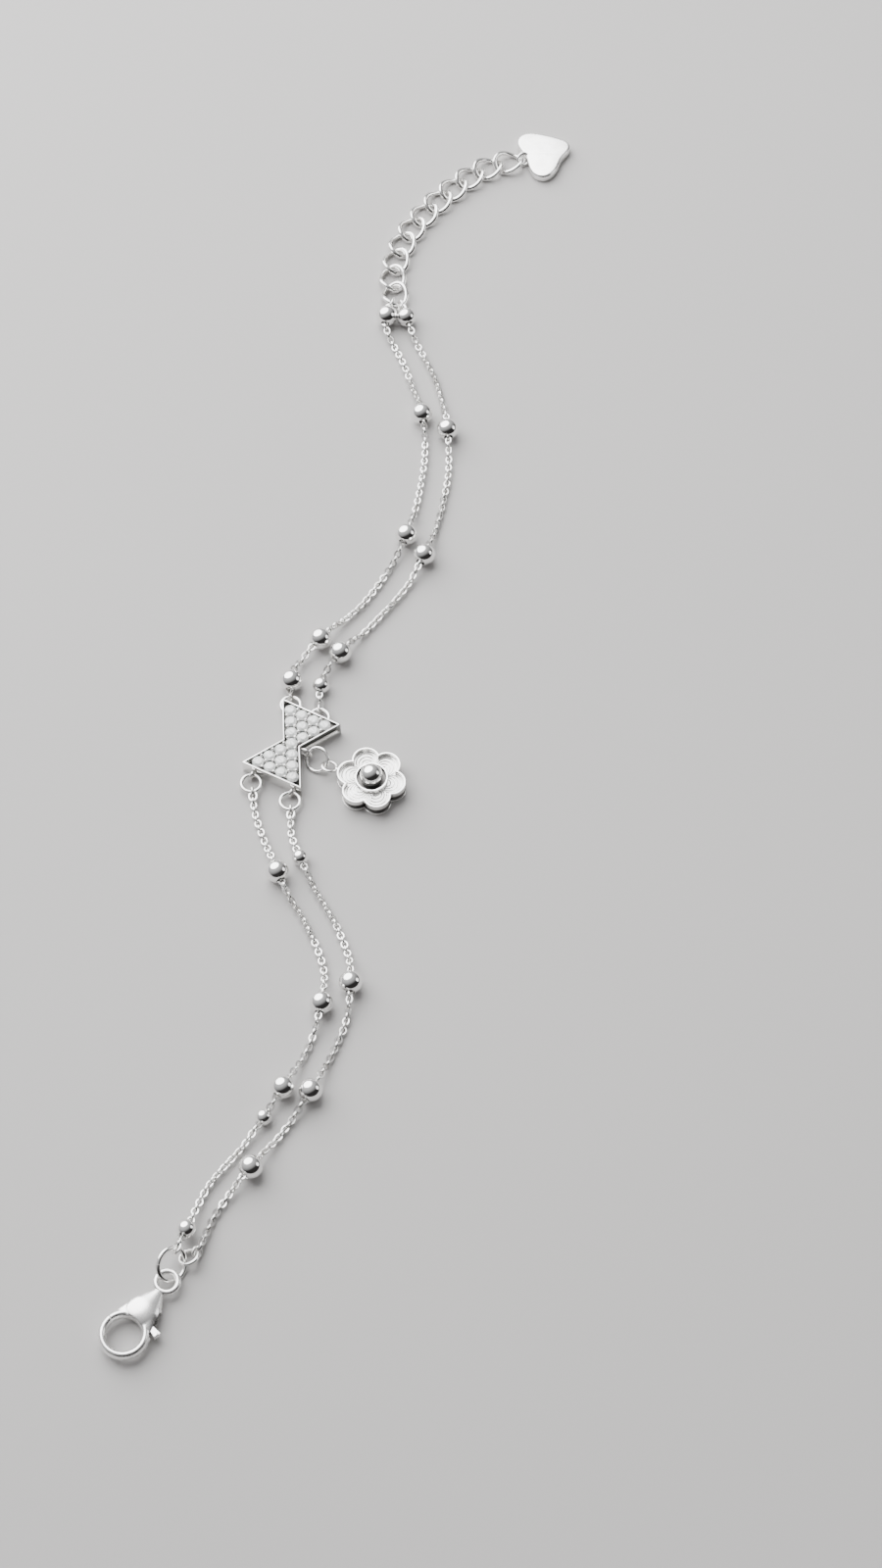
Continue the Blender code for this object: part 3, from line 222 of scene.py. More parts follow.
# Strands: chosen points, the wires that hold both ends (place, direction, loop radius), and the beads (where along
# the strand, as a share, and size)
STRANDS = {
    "upper_left": (
        [(3.5, 68.0), (4.1, 65.0), (5.86, 61.19), (7.44, 56.71), (9.6, 49.0), (10.18, 42.17), (9.52, 35.08),
         (7.7, 26.4), (5.24, 20.45), (0.89, 13.3), (-3.96, 8.06), (-8.0, 3.1), (-10.1, -0.8)],
        ((4.612, 70.577, 1.78), (-0.8716, 0.373, 0.3187), 0.864),
        ((-9.874, -3.705, 0.88), (-0.9987, -0.0506, 0.0), 0.64),
        [(0.0, 1.0), (0.271, 1.0), (0.579, 1.0), (0.884, 1.0), (1.0, 1.0)]),
    "upper_right": (
        [(7.2, 68.0), (8.1, 64.8), (9.91, 60.59), (11.77, 55.93), (13.5, 48.0), (13.93, 38.81), (13.0, 32.13),
         (11.21, 24.43), (7.91, 16.99), (2.9, 10.16), (-2.4, 3.9), (-4.6, 0.59), (-5.5, -2.6)],
        ((6.074, 70.63, 1.028), (-0.7996, -0.4472, 0.401), 0.864),
        ((-5.557, -5.915, 0.88), (-0.9987, -0.0506, 0.0), 0.64),
        [(0.004, 0.92), (0.305, 1.0), (0.617, 1.0), (0.898, 1.0), (0.975, 0.76)]),
    "lower_left": (
        [(-14.49, -24.07), (-12.87, -28.87), (-10.35, -35.58), (-6.78, -41.9), (-4.1, -48.94), (-4.2, -55.0),
         (-6.09, -61.79), (-9.5, -68.3), (-14.39, -76.18), (-19.23, -82.46), (-21.8, -88.9)],
        ((-15.104, -20.111, 0.88), (0.9882, 0.1532, 0.0), 0.64),
        ((-23.018, -92.275, 2.804), (-0.7185, -0.0409, 0.6943), 0.789),
        [(0.161, 1.0), (0.467, 1.0), (0.657, 1.0), (0.722, 0.7), (0.986, 0.8)]),
    "lower_right": (
        [(-8.93, -28.31), (-6.08, -35.29), (-2.41, -42.17), (-0.2, -49.0), (-0.54, -56.47), (-2.31, -61.79),
         (-5.25, -68.2), (-9.55, -74.89), (-14.75, -81.7), (-17.9, -86.2)],
        ((-9.38, -23.136, 0.88), (0.9962, 0.0867, 0.0), 0.64),
        ((-20.386, -92.166, 1.072), (-0.4974, 0.7104, -0.4979), 0.756),
        [(0.089, 0.7), (0.393, 1.0), (0.642, 1.0), (0.838, 1.0)]),
}


# ---------------------------------------------------------------- bench tools

def box_middle(node):
    low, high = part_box(node)
    return (Vector(low) + Vector(high)) / 2.0


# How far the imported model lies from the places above
SHIFT = box_middle("clasp_ring") - Vector(RINGS["clasp_ring"][0]) * MM


def deselect():
    bpy.ops.object.select_all(action="DESELECT")


def discard(obj):
    bpy.data.objects.remove(obj, do_unlink=True)


def add_to_scene(obj):
    bpy.context.scene.collection.objects.link(obj)
    return obj


def take(obj):
    """Make an object the only one that is picked up."""
    deselect()
    obj.select_set(True)
    bpy.context.view_layer.objects.active = obj
    return obj


def open_edit(obj, mode="VERT", everything=False):
    take(obj)
    bpy.ops.object.mode_set(mode="EDIT")
    bpy.ops.mesh.select_mode(type=mode)
    bpy.ops.mesh.select_all(action="SELECT" if everything else "DESELECT")


def close_edit():
    bpy.ops.object.mode_set(mode="OBJECT")


def pick(kind, test):
    """Select the vertices, edges or faces in edit mode that pass the test, and nothing else."""
    bpy.ops.mesh.select_mode(type={"verts": "VERT", "edges": "EDGE", "faces": "FACE"}[kind])
    bpy.ops.mesh.select_all(action="DESELECT")
    mesh = bpy.context.object.data
    bm = bmesh.from_edit_mesh(mesh)
    for item in getattr(bm, kind):
        if test(item):
            item.select_set(True)
    bm.select_flush_mode()
    bmesh.update_edit_mesh(mesh)


def tidy_mesh(obj):
    """Merge what meets, and turn every face outwards."""
    open_edit(obj, everything=True)
    bpy.ops.mesh.remove_doubles(threshold=HAIR * MM)
    bpy.ops.mesh.normals_make_consistent(inside=False)
    close_edit()
    return obj


def extrude(height):
    bpy.ops.mesh.extrude_region_move(TRANSFORM_OT_translate={"value": (0.0, 0.0, height * MM)})


def slice_off(point, outwards):
    """Cut the whole mesh by a plane and drop what lies on its outer side."""
    bpy.ops.mesh.select_all(action="SELECT")
    bpy.ops.mesh.bisect(plane_co=point, plane_no=outwards, clear_outer=True, threshold=HAIR * MM)


def apply_modifier(obj, kind, **settings):
    modifier = obj.modifiers.new(kind.lower(), kind)
    for key, value in settings.items():
        setattr(modifier, key, value)
    take(obj)
    bpy.ops.object.modifier_apply(modifier=modifier.name)
    return obj


def round_edges(obj, width, segments=3, angle=40.0):
    return apply_modifier(obj, "BEVEL", width=width * MM, segments=segments, limit_method="ANGLE",
                          angle_limit=math.radians(angle))


def combine(obj, tool, operation):
    apply_modifier(obj, "BOOLEAN", operation=operation, object=tool, solver="EXACT")
    discard(tool)
    return obj


def drop_scraps(obj):
    """Keep the largest loose part and throw the chips away."""
    open_edit(obj, everything=True)
    bpy.ops.mesh.separate(type="LOOSE")
    close_edit()
    parts = sorted(bpy.context.selected_objects, key=lambda part: len(part.data.vertices))
    for chip in parts[:-1]:
        discard(chip)
    return parts[-1]


def smooth(obj, angle=40.0):
    take(obj)
    bpy.ops.object.shade_smooth_by_angle(angle=math.radians(angle))
    return obj


def settle(obj, matrix=Matrix.Identity(4)):
    """Put the object's place into its mesh; the matrix is in metres."""
    take(obj)
    obj.matrix_world = matrix @ obj.matrix_world
    bpy.ops.object.transform_apply(location=True, rotation=True, scale=True)
    return obj


def twin(obj):
    """A copy with a mesh of its own."""
    other = obj.copy()
    other.data = obj.data.copy()
    return add_to_scene(other)


def join(objects):
    deselect()
    for obj in objects:
        obj.select_set(True)
    bpy.context.view_layer.objects.active = objects[0]
    bpy.ops.object.join()
    return settle(objects[0])


def placed(place, turn=(0.0, 0.0, 0.0)):
    """Matrix in metres of a place in millimetres and a turn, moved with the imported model."""
    return Matrix.Translation(Vector(place) * MM + SHIFT) @ Euler(turn).to_matrix().to_4x4()


def frame_of(centre, way, normal):
    """Matrix of a ring whose X axis points along way and whose Z axis is its normal."""
    way = way.normalized()
    normal = (normal - normal.dot(way) * way).normalized()
    matrix = Matrix((way, normal.cross(way), normal)).transposed().to_4x4()
    matrix.translation = centre * MM
    return matrix


def towards(way):
    """Matrix that turns the Z axis to point along way."""
    return way.to_track_quat("Z", "Y").to_matrix().to_4x4()


def grown(share):
    return Matrix.Diagonal((share, share, share, 1.0))


def flat_way(turn):
    """Level direction at an angle from X."""
    return Vector((math.cos(turn), math.sin(turn), 0.0))


def rolled(way, roll):
    """Straight up, rolled about way."""
    return UP * math.cos(roll) - UP.cross(way) * math.sin(roll)


def faces_where(obj, test):
    return [face.index for face in obj.data.polygons if test(face)]


def hand_over(obj, name, material, nodes, body="anklet", angle=40.0, recess=()):
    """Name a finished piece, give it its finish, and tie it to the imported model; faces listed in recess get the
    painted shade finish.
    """
    smooth(obj, angle)
    obj.name = name
    obj.data.name = name
    obj.data.materials.clear()
    obj.data.materials.append(material)
    # Painted shade: the listed recess faces get the dark finish as a second material.
    if recess:
        obj.data.materials.append(PAINTED_SHADE_FINISH)
        for index in recess:
            obj.data.polygons[index].material_index = 1
    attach(obj, body)
    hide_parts(*nodes)
    return obj


# ---------------------------------------------------------------- shapes

def turned(profile, steps):
    """A shape turned about Z from a profile of (radius, height) points."""
    bpy.ops.mesh.primitive_plane_add(size=MM)
    obj = bpy.context.object
    open_edit(obj, everything=True)
    bpy.ops.mesh.merge(type="CENTER")
    here = Vector((profile[0][0], 0.0, profile[0][1]))
    bpy.ops.transform.translate(value=here * MM)
    for radius, height in profile[1:]:
        there = Vector((radius, 0.0, height))
        bpy.ops.mesh.extrude_vertices_move(TRANSFORM_OT_translate={"value": (there - here) * MM})
        here = there
    bpy.ops.mesh.select_all(action="SELECT")
    bpy.ops.mesh.spin(steps=steps, angle=TURN, center=(0.0, 0.0, 0.0), axis=(0.0, 0.0, 1.0))
    close_edit()
    return tidy_mesh(obj)


def arc_profile(centre, radius, start, end, steps):
    """Points of (radius, height) along an arc; the angles are degrees from straight up."""
    points = []
    for k in range(steps + 1):
        angle = math.radians(start + (end - start) * k / steps)
        points.append((max(0.0, centre[0] + radius * math.sin(angle)), centre[1] + radius * math.cos(angle)))
    return points


def jump_ring(outside, wire, seam_at, steps=56, sides=14):
    """A wire ring bent round from one end to the other, with a fine seam where it was closed."""
    radius = (outside - wire) / 2.0
    bpy.ops.mesh.primitive_circle_add(vertices=sides, radius=wire / 2.0 * MM, fill_type="NGON",
                                      location=(radius * MM, 0.0, 0.0), rotation=(math.pi / 2.0, 0.0, 0.0))
    obj = settle(bpy.context.object)
    open_edit(obj, everything=True)
    bpy.ops.mesh.spin(steps=steps, angle=TURN - SEAM, center=(0.0, 0.0, 0.0), axis=(0.0, 0.0, 1.0))
    close_edit()
    tidy_mesh(obj)
    return settle(obj, Matrix.Rotation(seam_at, 4, "Z"))


def soldered_ring(radius, wire, steps=40, sides=12, thick=1.0):
    """A closed ring without a seam; thick stretches its wire upwards."""
    bpy.ops.mesh.primitive_circle_add(vertices=sides, radius=wire / 2.0 * MM, location=(radius * MM, 0.0, 0.0),
                                      rotation=(math.pi / 2.0, 0.0, 0.0))
    obj = settle(bpy.context.object)
    open_edit(obj, everything=True)
    bpy.ops.transform.resize(value=(1.0, 1.0, thick))
    bpy.ops.mesh.spin(steps=steps, angle=TURN, center=(0.0, 0.0, 0.0), axis=(0.0, 0.0, 1.0))
    close_edit()
    return tidy_mesh(obj)


def wire_oval(half_length, half_width, wire, around, bevel):
    """An oval of round wire, drawn as a curve and made a mesh."""
    bpy.ops.curve.primitive_bezier_circle_add(radius=MM)
    obj = bpy.context.object
    bpy.ops.object.mode_set(mode="EDIT")
    bpy.ops.curve.select_all(action="SELECT")
    bpy.ops.transform.resize(value=(half_length, half_width, 1.0))
    bpy.ops.object.mode_set(mode="OBJECT")
    obj.data.resolution_u = around
    obj.data.bevel_depth = wire / 2.0 * MM
    obj.data.bevel_resolution = bevel
    take(obj)
    bpy.ops.object.convert(target="MESH")
    return tidy_mesh(bpy.context.object)


def rod(radius, low, high, sides=32, place=(0.0, 0.0)):
    bpy.ops.mesh.primitive_cylinder_add(vertices=sides, radius=radius * MM, depth=(high - low) * MM,
                                        location=(place[0] * MM, place[1] * MM, (low + high) / 2.0 * MM))
    return settle(bpy.context.object)


def bar(start, end, radius, sides=16):
    """A straight round bar between two points."""
    obj = rod(radius, 0.0, (end - start).length, sides)
    return settle(obj, Matrix.Translation(start * MM) @ towards(end - start))


def sector(inner, outer, low, high, start, end, steps):
    """A flat piece of a ring about Z: a rectangle swept from one angle to the other."""
    bpy.ops.mesh.primitive_plane_add(size=1.0, rotation=(math.pi / 2.0, 0.0, 0.0))
    obj = settle(bpy.context.object)
    open_edit(obj, everything=True)
    bpy.ops.transform.resize(value=((outer - inner) * MM, 1.0, (high - low) * MM))
    bpy.ops.transform.translate(value=((inner + outer) / 2.0 * MM, 0.0, (low + high) / 2.0 * MM))
    bpy.ops.mesh.spin(steps=steps, angle=math.radians(end - start), center=(0.0, 0.0, 0.0),
                      axis=(0.0, 0.0, -1.0))
    close_edit()
    tidy_mesh(obj)
    return settle(obj, Matrix.Rotation(math.radians(start), 4, "Z"))


# ---------------------------------------------------------------- finishes

def new_group(name, inputs, outputs):
    group = bpy.data.node_groups.new(name, "ShaderNodeTree")
    for label, kind, value in inputs:
        socket = group.interface.new_socket(label, in_out="INPUT", socket_type=kind)
        if value is not None:
            socket.default_value = value
    for label, kind in outputs:
        group.interface.new_socket(label, in_out="OUTPUT", socket_type=kind)
    return group, group.nodes.new("NodeGroupInput"), group.nodes.new("NodeGroupOutput")


def math_node(nodes, links, operation, a, b):
    node = nodes.new("ShaderNodeMath")
    node.operation = operation
    for socket, value in zip(node.inputs, (a, b)):
        if isinstance(value, (int, float)):
            socket.default_value = value
        else:
            links.new(value, socket)
    return node.outputs[0]


def map_node(nodes, links, value, low, high, to_low, to_high):
    node = nodes.new("ShaderNodeMapRange")
    links.new(value, node.inputs["Value"])
    for key, number in (("From Min", low), ("From Max", high), ("To Min", to_low), ("To Max", to_high)):
        node.inputs[key].default_value = number
    return node.outputs["Result"]


def noise(nodes, links, vector, scale, detail=3.0, roughness=0.5):
    node = nodes.new("ShaderNodeTexNoise")
    links.new(vector, node.inputs["Vector"])
    node.inputs["Scale"].default_value = scale
    node.inputs["Detail"].default_value = detail
    node.inputs["Roughness"].default_value = roughness
    return node.outputs["Fac"]


def blend(nodes, links, factor, first, second):
    """A colour between two, by a mask."""
    node = nodes.new("ShaderNodeMix")
    node.data_type = "RGBA"
    node.inputs["A"].default_value = (*first, 1.0)
    node.inputs["B"].default_value = (*second, 1.0)
    links.new(factor, node.inputs["Factor"])
    return node.outputs["Result"]


def new_finish(name):
    """A material, its nodes and links, and its main shader."""
    material = bpy.data.materials.new(name)
    material.use_nodes = True
    tree = material.node_tree
    return material, tree.nodes, tree.links, tree.nodes["Principled BSDF"]


# Wear of silver: how fine each pattern is, and the part of it that shows
SMUDGE_SCALE, SMUDGE_PART = 420.0, (0.42, 0.68)
SCRATCH_SCALE, SCRATCH_PART = 900.0, (0.62, 0.7)
SCRATCH_WAY = (0.3, 0.2, 0.7)
SCRATCH_STRETCH = (1.0, 14.0, 14.0)
DENT_SCALE, DENT_HEIGHT = 1300.0, 0.4
SMUDGE_ROUGH, SCRATCH_ROUGH = 0.14, 0.12      # how much rougher smudges and scratches are
RELIEF = 0.02


def build_handling():
    """Wear of handled silver: soft smudges, hair scratches and faint dents."""
    group, given, result = new_group(
        "handled_silver",
        [("Vector", "NodeSocketVector", None), ("Smudge", "NodeSocketFloat", 0.5),
         ("Scratch", "NodeSocketFloat", 0.5)],
        [("Smudge Mask", "NodeSocketFloat"), ("Scratch Mask", "NodeSocketFloat"), ("Height", "NodeSocketFloat")])
    nodes, links = group.nodes, group.links
    vector = given.outputs["Vector"]
    cloud = noise(nodes, links, vector, SMUDGE_SCALE, 4.0, 0.6)
    smudge = math_node(nodes, links, "MULTIPLY", map_node(nodes, links, cloud, *SMUDGE_PART, 0.0, 1.0),
                       given.outputs["Smudge"])
    stretch = nodes.new("ShaderNodeMapping")
    stretch.inputs["Rotation"].default_value = SCRATCH_WAY
    stretch.inputs["Scale"].default_value = SCRATCH_STRETCH
    links.new(vector, stretch.inputs["Vector"])
    hair = noise(nodes, links, stretch.outputs["Vector"], SCRATCH_SCALE, 2.0, 0.7)
    scratch = math_node(nodes, links, "MULTIPLY", map_node(nodes, links, hair, *SCRATCH_PART, 0.0, 1.0),
                        given.outputs["Scratch"])
    dents = noise(nodes, links, vector, DENT_SCALE, 1.0, 0.4)
    height = math_node(nodes, links, "SUBTRACT", math_node(nodes, links, "MULTIPLY", dents, DENT_HEIGHT), scratch)
    links.new(smudge, result.inputs["Smudge Mask"])
    links.new(scratch, result.inputs["Scratch Mask"])
    links.new(height, result.inputs["Height"])
    return group


HANDLING = build_handling()


def silver_finish(name, bright, shade, roughness, smudge, scratch, bump):
    """Polished silver with its own tone, gloss and amount of wear."""
    material, nodes, links, shader = new_finish(name)
    shader.inputs["Metallic"].default_value = 1.0
    place = nodes.new("ShaderNodeTexCoord")
    wear = nodes.new("ShaderNodeGroup")
    wear.node_tree = HANDLING
    wear.inputs["Smudge"].default_value = smudge
    wear.inputs["Scratch"].default_value = scratch
    links.new(place.outputs["Object"], wear.inputs["Vector"])
    smudged = wear.outputs["Smudge Mask"]
    links.new(blend(nodes, links, smudged, bright, shade), shader.inputs["Base Color"])
    gloss = map_node(nodes, links, smudged, 0.0, 1.0, roughness, roughness + SMUDGE_ROUGH)
    scraped = math_node(nodes, links, "MULTIPLY", wear.outputs["Scratch Mask"], SCRATCH_ROUGH)
    links.new(math_node(nodes, links, "ADD", gloss, scraped), shader.inputs["Roughness"])
    relief = nodes.new("ShaderNodeBump")
    relief.inputs["Strength"].default_value = bump
    relief.inputs["Distance"].default_value = RELIEF * MM
    links.new(wear.outputs["Height"], relief.inputs["Height"])
    links.new(relief.outputs["Normal"], shader.inputs["Normal"])
    return material


def stone_finish():
    """Milky white stones: every facet has its own painted light, a tone from bright white to a faint grey that
    stands in for how light falls on it.
    """
    material, nodes, links, shader = new_finish("milky_stone")
    # Painted light and shade per facet, read from a face attribute.
    facet = nodes.new("ShaderNodeAttribute")
    facet.attribute_name = "facet_painted_light"
    place = nodes.new("ShaderNodeTexCoord")
    cloud = noise(nodes, links, place.outputs["Object"], 1400.0)
    tone = math_node(nodes, links, "ADD", facet.outputs["Fac"],
                     map_node(nodes, links, cloud, 0.3, 0.7, -0.12, 0.12))
    grey = nodes.new("ShaderNodeValToRGB")
    grey.color_ramp.elements[0].color = (0.66, 0.68, 0.67, 1.0)
    grey.color_ramp.elements[1].color = (0.98, 0.985, 0.97, 1.0)
    grey.color_ramp.elements[1].position = 0.5
    links.new(tone, grey.inputs["Fac"])
    links.new(grey.outputs["Color"], shader.inputs["Base Color"])
    links.new(map_node(nodes, links, cloud, 0.3, 0.7, 0.02, 0.08), shader.inputs["Roughness"])
    shader.inputs["IOR"].default_value = 2.0
    shader.inputs["Transmission Weight"].default_value = 0.12
    return material


# Each finish: name, bright tone, smudged tone, roughness, smudges, scratches, relief
POLISHED = silver_finish("polished_silver", (0.93, 0.925, 0.91), (0.84, 0.825, 0.8), 0.1, 0.6, 0.5, 0.12)
BEAD_FINISH = silver_finish("mirror_bead_silver", (0.94, 0.935, 0.925), (0.86, 0.85, 0.83), 0.08, 0.45, 0.25, 0.05)
CHAIN_FINISH = silver_finish("fine_chain_silver", (0.9, 0.895, 0.88), (0.7, 0.685, 0.66), 0.15, 0.8, 0.4, 0.15)
CAST_FINISH = silver_finish("cast_clasp_silver", (0.95, 0.945, 0.935), (0.86, 0.85, 0.83), 0.24, 0.5, 0.35, 0.12)
SATIN_FINISH = silver_finish("satin_petal_silver", (0.74, 0.735, 0.72), (0.6, 0.595, 0.58), 0.3, 0.6, 0.3, 0.15)
# Painted shade: a near-black silver for the faces of recesses, tray floors and gaps, standing in for the shade that
# falls there.
PAINTED_SHADE_FINISH = silver_finish("shadowed_recess_silver", (0.16, 0.155, 0.15), (0.08, 0.078, 0.075), 0.4, 0.7, 0.2,
                              0.2)
STONE_FINISH = stone_finish()


# ---------------------------------------------------------------- chains and beads

class Line:
    """A smooth line through chosen points, read by the distance along it."""

    def __init__(self, points):
        ends = [2.0 * points[0] - points[1]] + points + [2.0 * points[-1] - points[-2]]
        self.points = []
        for before, a, b, after in zip(ends, ends[1:], ends[2:], ends[3:]):
            for k in range(24):
                t = k / 24.0
                self.points.append(0.5 * (2.0 * a + (b - before) * t
                                          + (2.0 * before - 5.0 * a + 4.0 * b - after) * t * t
                                          + (3.0 * a - before - 3.0 * b + after) * t ** 3))
        self.points.append(points[-1])
        self.run = [0.0]
        for a, b in zip(self.points, self.points[1:]):
            self.run.append(self.run[-1] + (b - a).length)
        self.length = self.run[-1]

    def at(self, distance):
        distance = min(max(distance, 0.0), self.length)
        k = 1
        while k < len(self.run) - 1 and self.run[k] < distance:
            k += 1
        share = (distance - self.run[k - 1]) / (self.run[k] - self.run[k - 1])
        return self.points[k - 1].lerp(self.points[k], share)


def loop_end(held, target):
    """Where the chain starts: the far side of the end link that goes round the held wire."""
    place, along, radius = held
    place = Vector(place)
    way = Vector((target[0] - place.x, target[1] - place.y, 0.0)).normalized()
    return place, Vector(along), way, place + radius * way


def chain_height(distance, supports):
    """Height of the chain's middle: it rests, and rises to the beads and rings that hold it up."""
    height = CHAIN_R
    for place, half, top in supports:
        away = max(0.0, abs(distance - place) - half)
        if away < SAG_REACH:
            height = max(height, CHAIN_R + (top - CHAIN_R) * (0.5 + 0.5 * math.cos(math.pi * away / SAG_REACH)))
    return height


def smooth_bead():
    """A drilled round bead with softly rounded lips and an open bore."""
    bpy.ops.mesh.primitive_uv_sphere_add(segments=40, ring_count=28, radius=BEAD_D / 2.0 * MM)
    obj = bpy.context.object
    lip = math.sqrt((BEAD_D / 2.0) ** 2 - BORE_R ** 2) * MM
    open_edit(obj)
    for side in (1.0, -1.0):
        slice_off((0.0, 0.0, side * lip), (0.0, 0.0, side))
    pick("edges", lambda edge: edge.is_boundary)
    bpy.ops.mesh.bridge_edge_loops()
    close_edit()
    tidy_mesh(obj)
    return round_edges(obj, BEAD_LIP, 2, 50.0)


def build_strand(name, cable_link, bead):
    """One fine chain with its end links, and the beads threaded on it."""
    route, start, end, beads = STRANDS[name]
    middle = [Vector((x, y)) for x, y in route]
    start_place, start_along, start_way, first = loop_end(start, route[0])
    end_place, end_along, end_way, last = loop_end(end, route[-1])
    line = Line([first.xy] + middle + [last.xy])
    spans = []
    for share, size in beads:
        radius = size * BEAD_D / 2.0
        begin = LOOSE + share * (line.length - 2.0 * radius - 2.0 * LOOSE)
        spans.append((begin, begin + 2.0 * radius, radius))
    supports = [((a + b) / 2.0, r, r) for a, b, r in spans] + [(0.0, 0.0, first.z), (line.length, 0.0, last.z)]

    def at(distance):
        return Vector((*line.at(distance), chain_height(distance, supports)))

    pieces = []
    for place, along, way, radius in ((start_place, start_along, start_way, start[2]),
                                      (end_place, end_along, end_way, end[2])):
        loop = wire_oval(radius, radius, END_WIRE, 5, 3)
        pieces.append(settle(loop, Matrix.Translation(SHIFT) @ frame_of(place, way, along)))
    reach = (CABLE_LENGTH - CABLE_WIRE) / 2.0
    margin = reach - (CABLE_WIRE + END_WIRE) / 2.0
    pitch = CABLE_LENGTH - 2.0 * CABLE_WIRE
    count = round((line.length - 2.0 * margin) / pitch)
    step = (line.length - 2.0 * margin) / count
    for k in range(count + 1):
        distance = margin + k * step
        way = (at(distance + ALONG) - at(distance - ALONG)).normalized()
        side = UP.cross(way).normalized()
        roll = ((k % 2) * math.pi / 2.0 + ROLL_SWAY[0] * math.sin(distance * ROLL_SWAY[1] + len(name))
                + ROLL_SHAKE[0] * math.sin(k * ROLL_SHAKE[1]))
        normal = way.cross(side) * math.cos(roll) + side * math.sin(roll)
        link = twin(cable_link)
        share = END_GROW if k in (0, count) else 1.0
        link.matrix_world = Matrix.Translation(SHIFT) @ frame_of(at(distance), way, normal) @ grown(share)
        pieces.append(link)
    chain = join(pieces)
    hand_over(chain, name + "_cable_chain", CHAIN_FINISH, [name + "_strand"], angle=60.0)

    for number, (begin, finish, radius) in enumerate(spans, 1):
        low, high = at(begin), at(finish)
        copy = twin(bead)
        spot = Matrix.Translation((low + high) / 2.0 * MM + SHIFT)
        settle(copy, spot @ towards(high - low) @ grown(2.0 * radius / BEAD_D))
        hand_over(copy, "%s_round_bead_%d" % (name, number), BEAD_FINISH,
                  ["%s_bead_%d" % (name, number)], angle=60.0)


# ---------------------------------------------------------------- stone plate

def stone_places():
    """Rows of one stone more each, from the middle stone to both ends."""
    row_step = STONE_PITCH * math.sin(math.radians(60.0))
    places = []
    for row in range(-STONE_ROWS, STONE_ROWS + 1):
        count = abs(row) + 1
        places += [Vector(((k - (count - 1) / 2.0) * STONE_PITCH, row * row_step)) for k in range(count)]
    return places


def prong_places(stones):
    """Beside the middle of each pair of neighbouring stones, shared where two pairs meet."""
    places = []
    for i, a in enumerate(stones):
        for b in stones[i + 1:]:
            if (b - a).length > 1.1 * STONE_PITCH:
                continue
            across = (b - a).normalized().orthogonal() * STONE_PITCH / (2.0 * math.sqrt(3.0))
            for spot in ((a + b) / 2.0 + across, (a + b) / 2.0 - across):
                near_stone = min((spot - stone).length for stone in stones)
                near_prong = min([(spot - place).length for place in places] + [STONE_PITCH])
                if near_stone > 0.5 * STONE_PITCH and near_prong > 0.5 * STONE_PITCH:
                    places.append(spot)
    return places


def brilliant():
    """A round cut stone: table, eight main facets with stars, a girdle and a pointed pavilion."""
    radius = STONE_D / 2.0
    bpy.ops.mesh.primitive_circle_add(vertices=16, radius=radius * MM)
    obj = bpy.context.object
    open_edit(obj, everything=True)
    bpy.ops.mesh.duplicate_move(TRANSFORM_OT_translate={"value": (0.0, 0.0, -STONE_GIRDLE * MM)})
    for count, share, height, turn in STONE_CROWN:
        bpy.ops.mesh.primitive_circle_add(vertices=count, radius=share * radius * MM,
                                          location=(0.0, 0.0, height * MM), rotation=(0.0, 0.0, turn))
    share, height = STONE_CULET
    bpy.ops.mesh.primitive_circle_add(vertices=8, radius=share * radius * MM, location=(0.0, 0.0, height * MM))
    bpy.ops.mesh.select_all(action="SELECT")
    bpy.ops.mesh.convex_hull()
    close_edit()
    return tidy_mesh(obj)


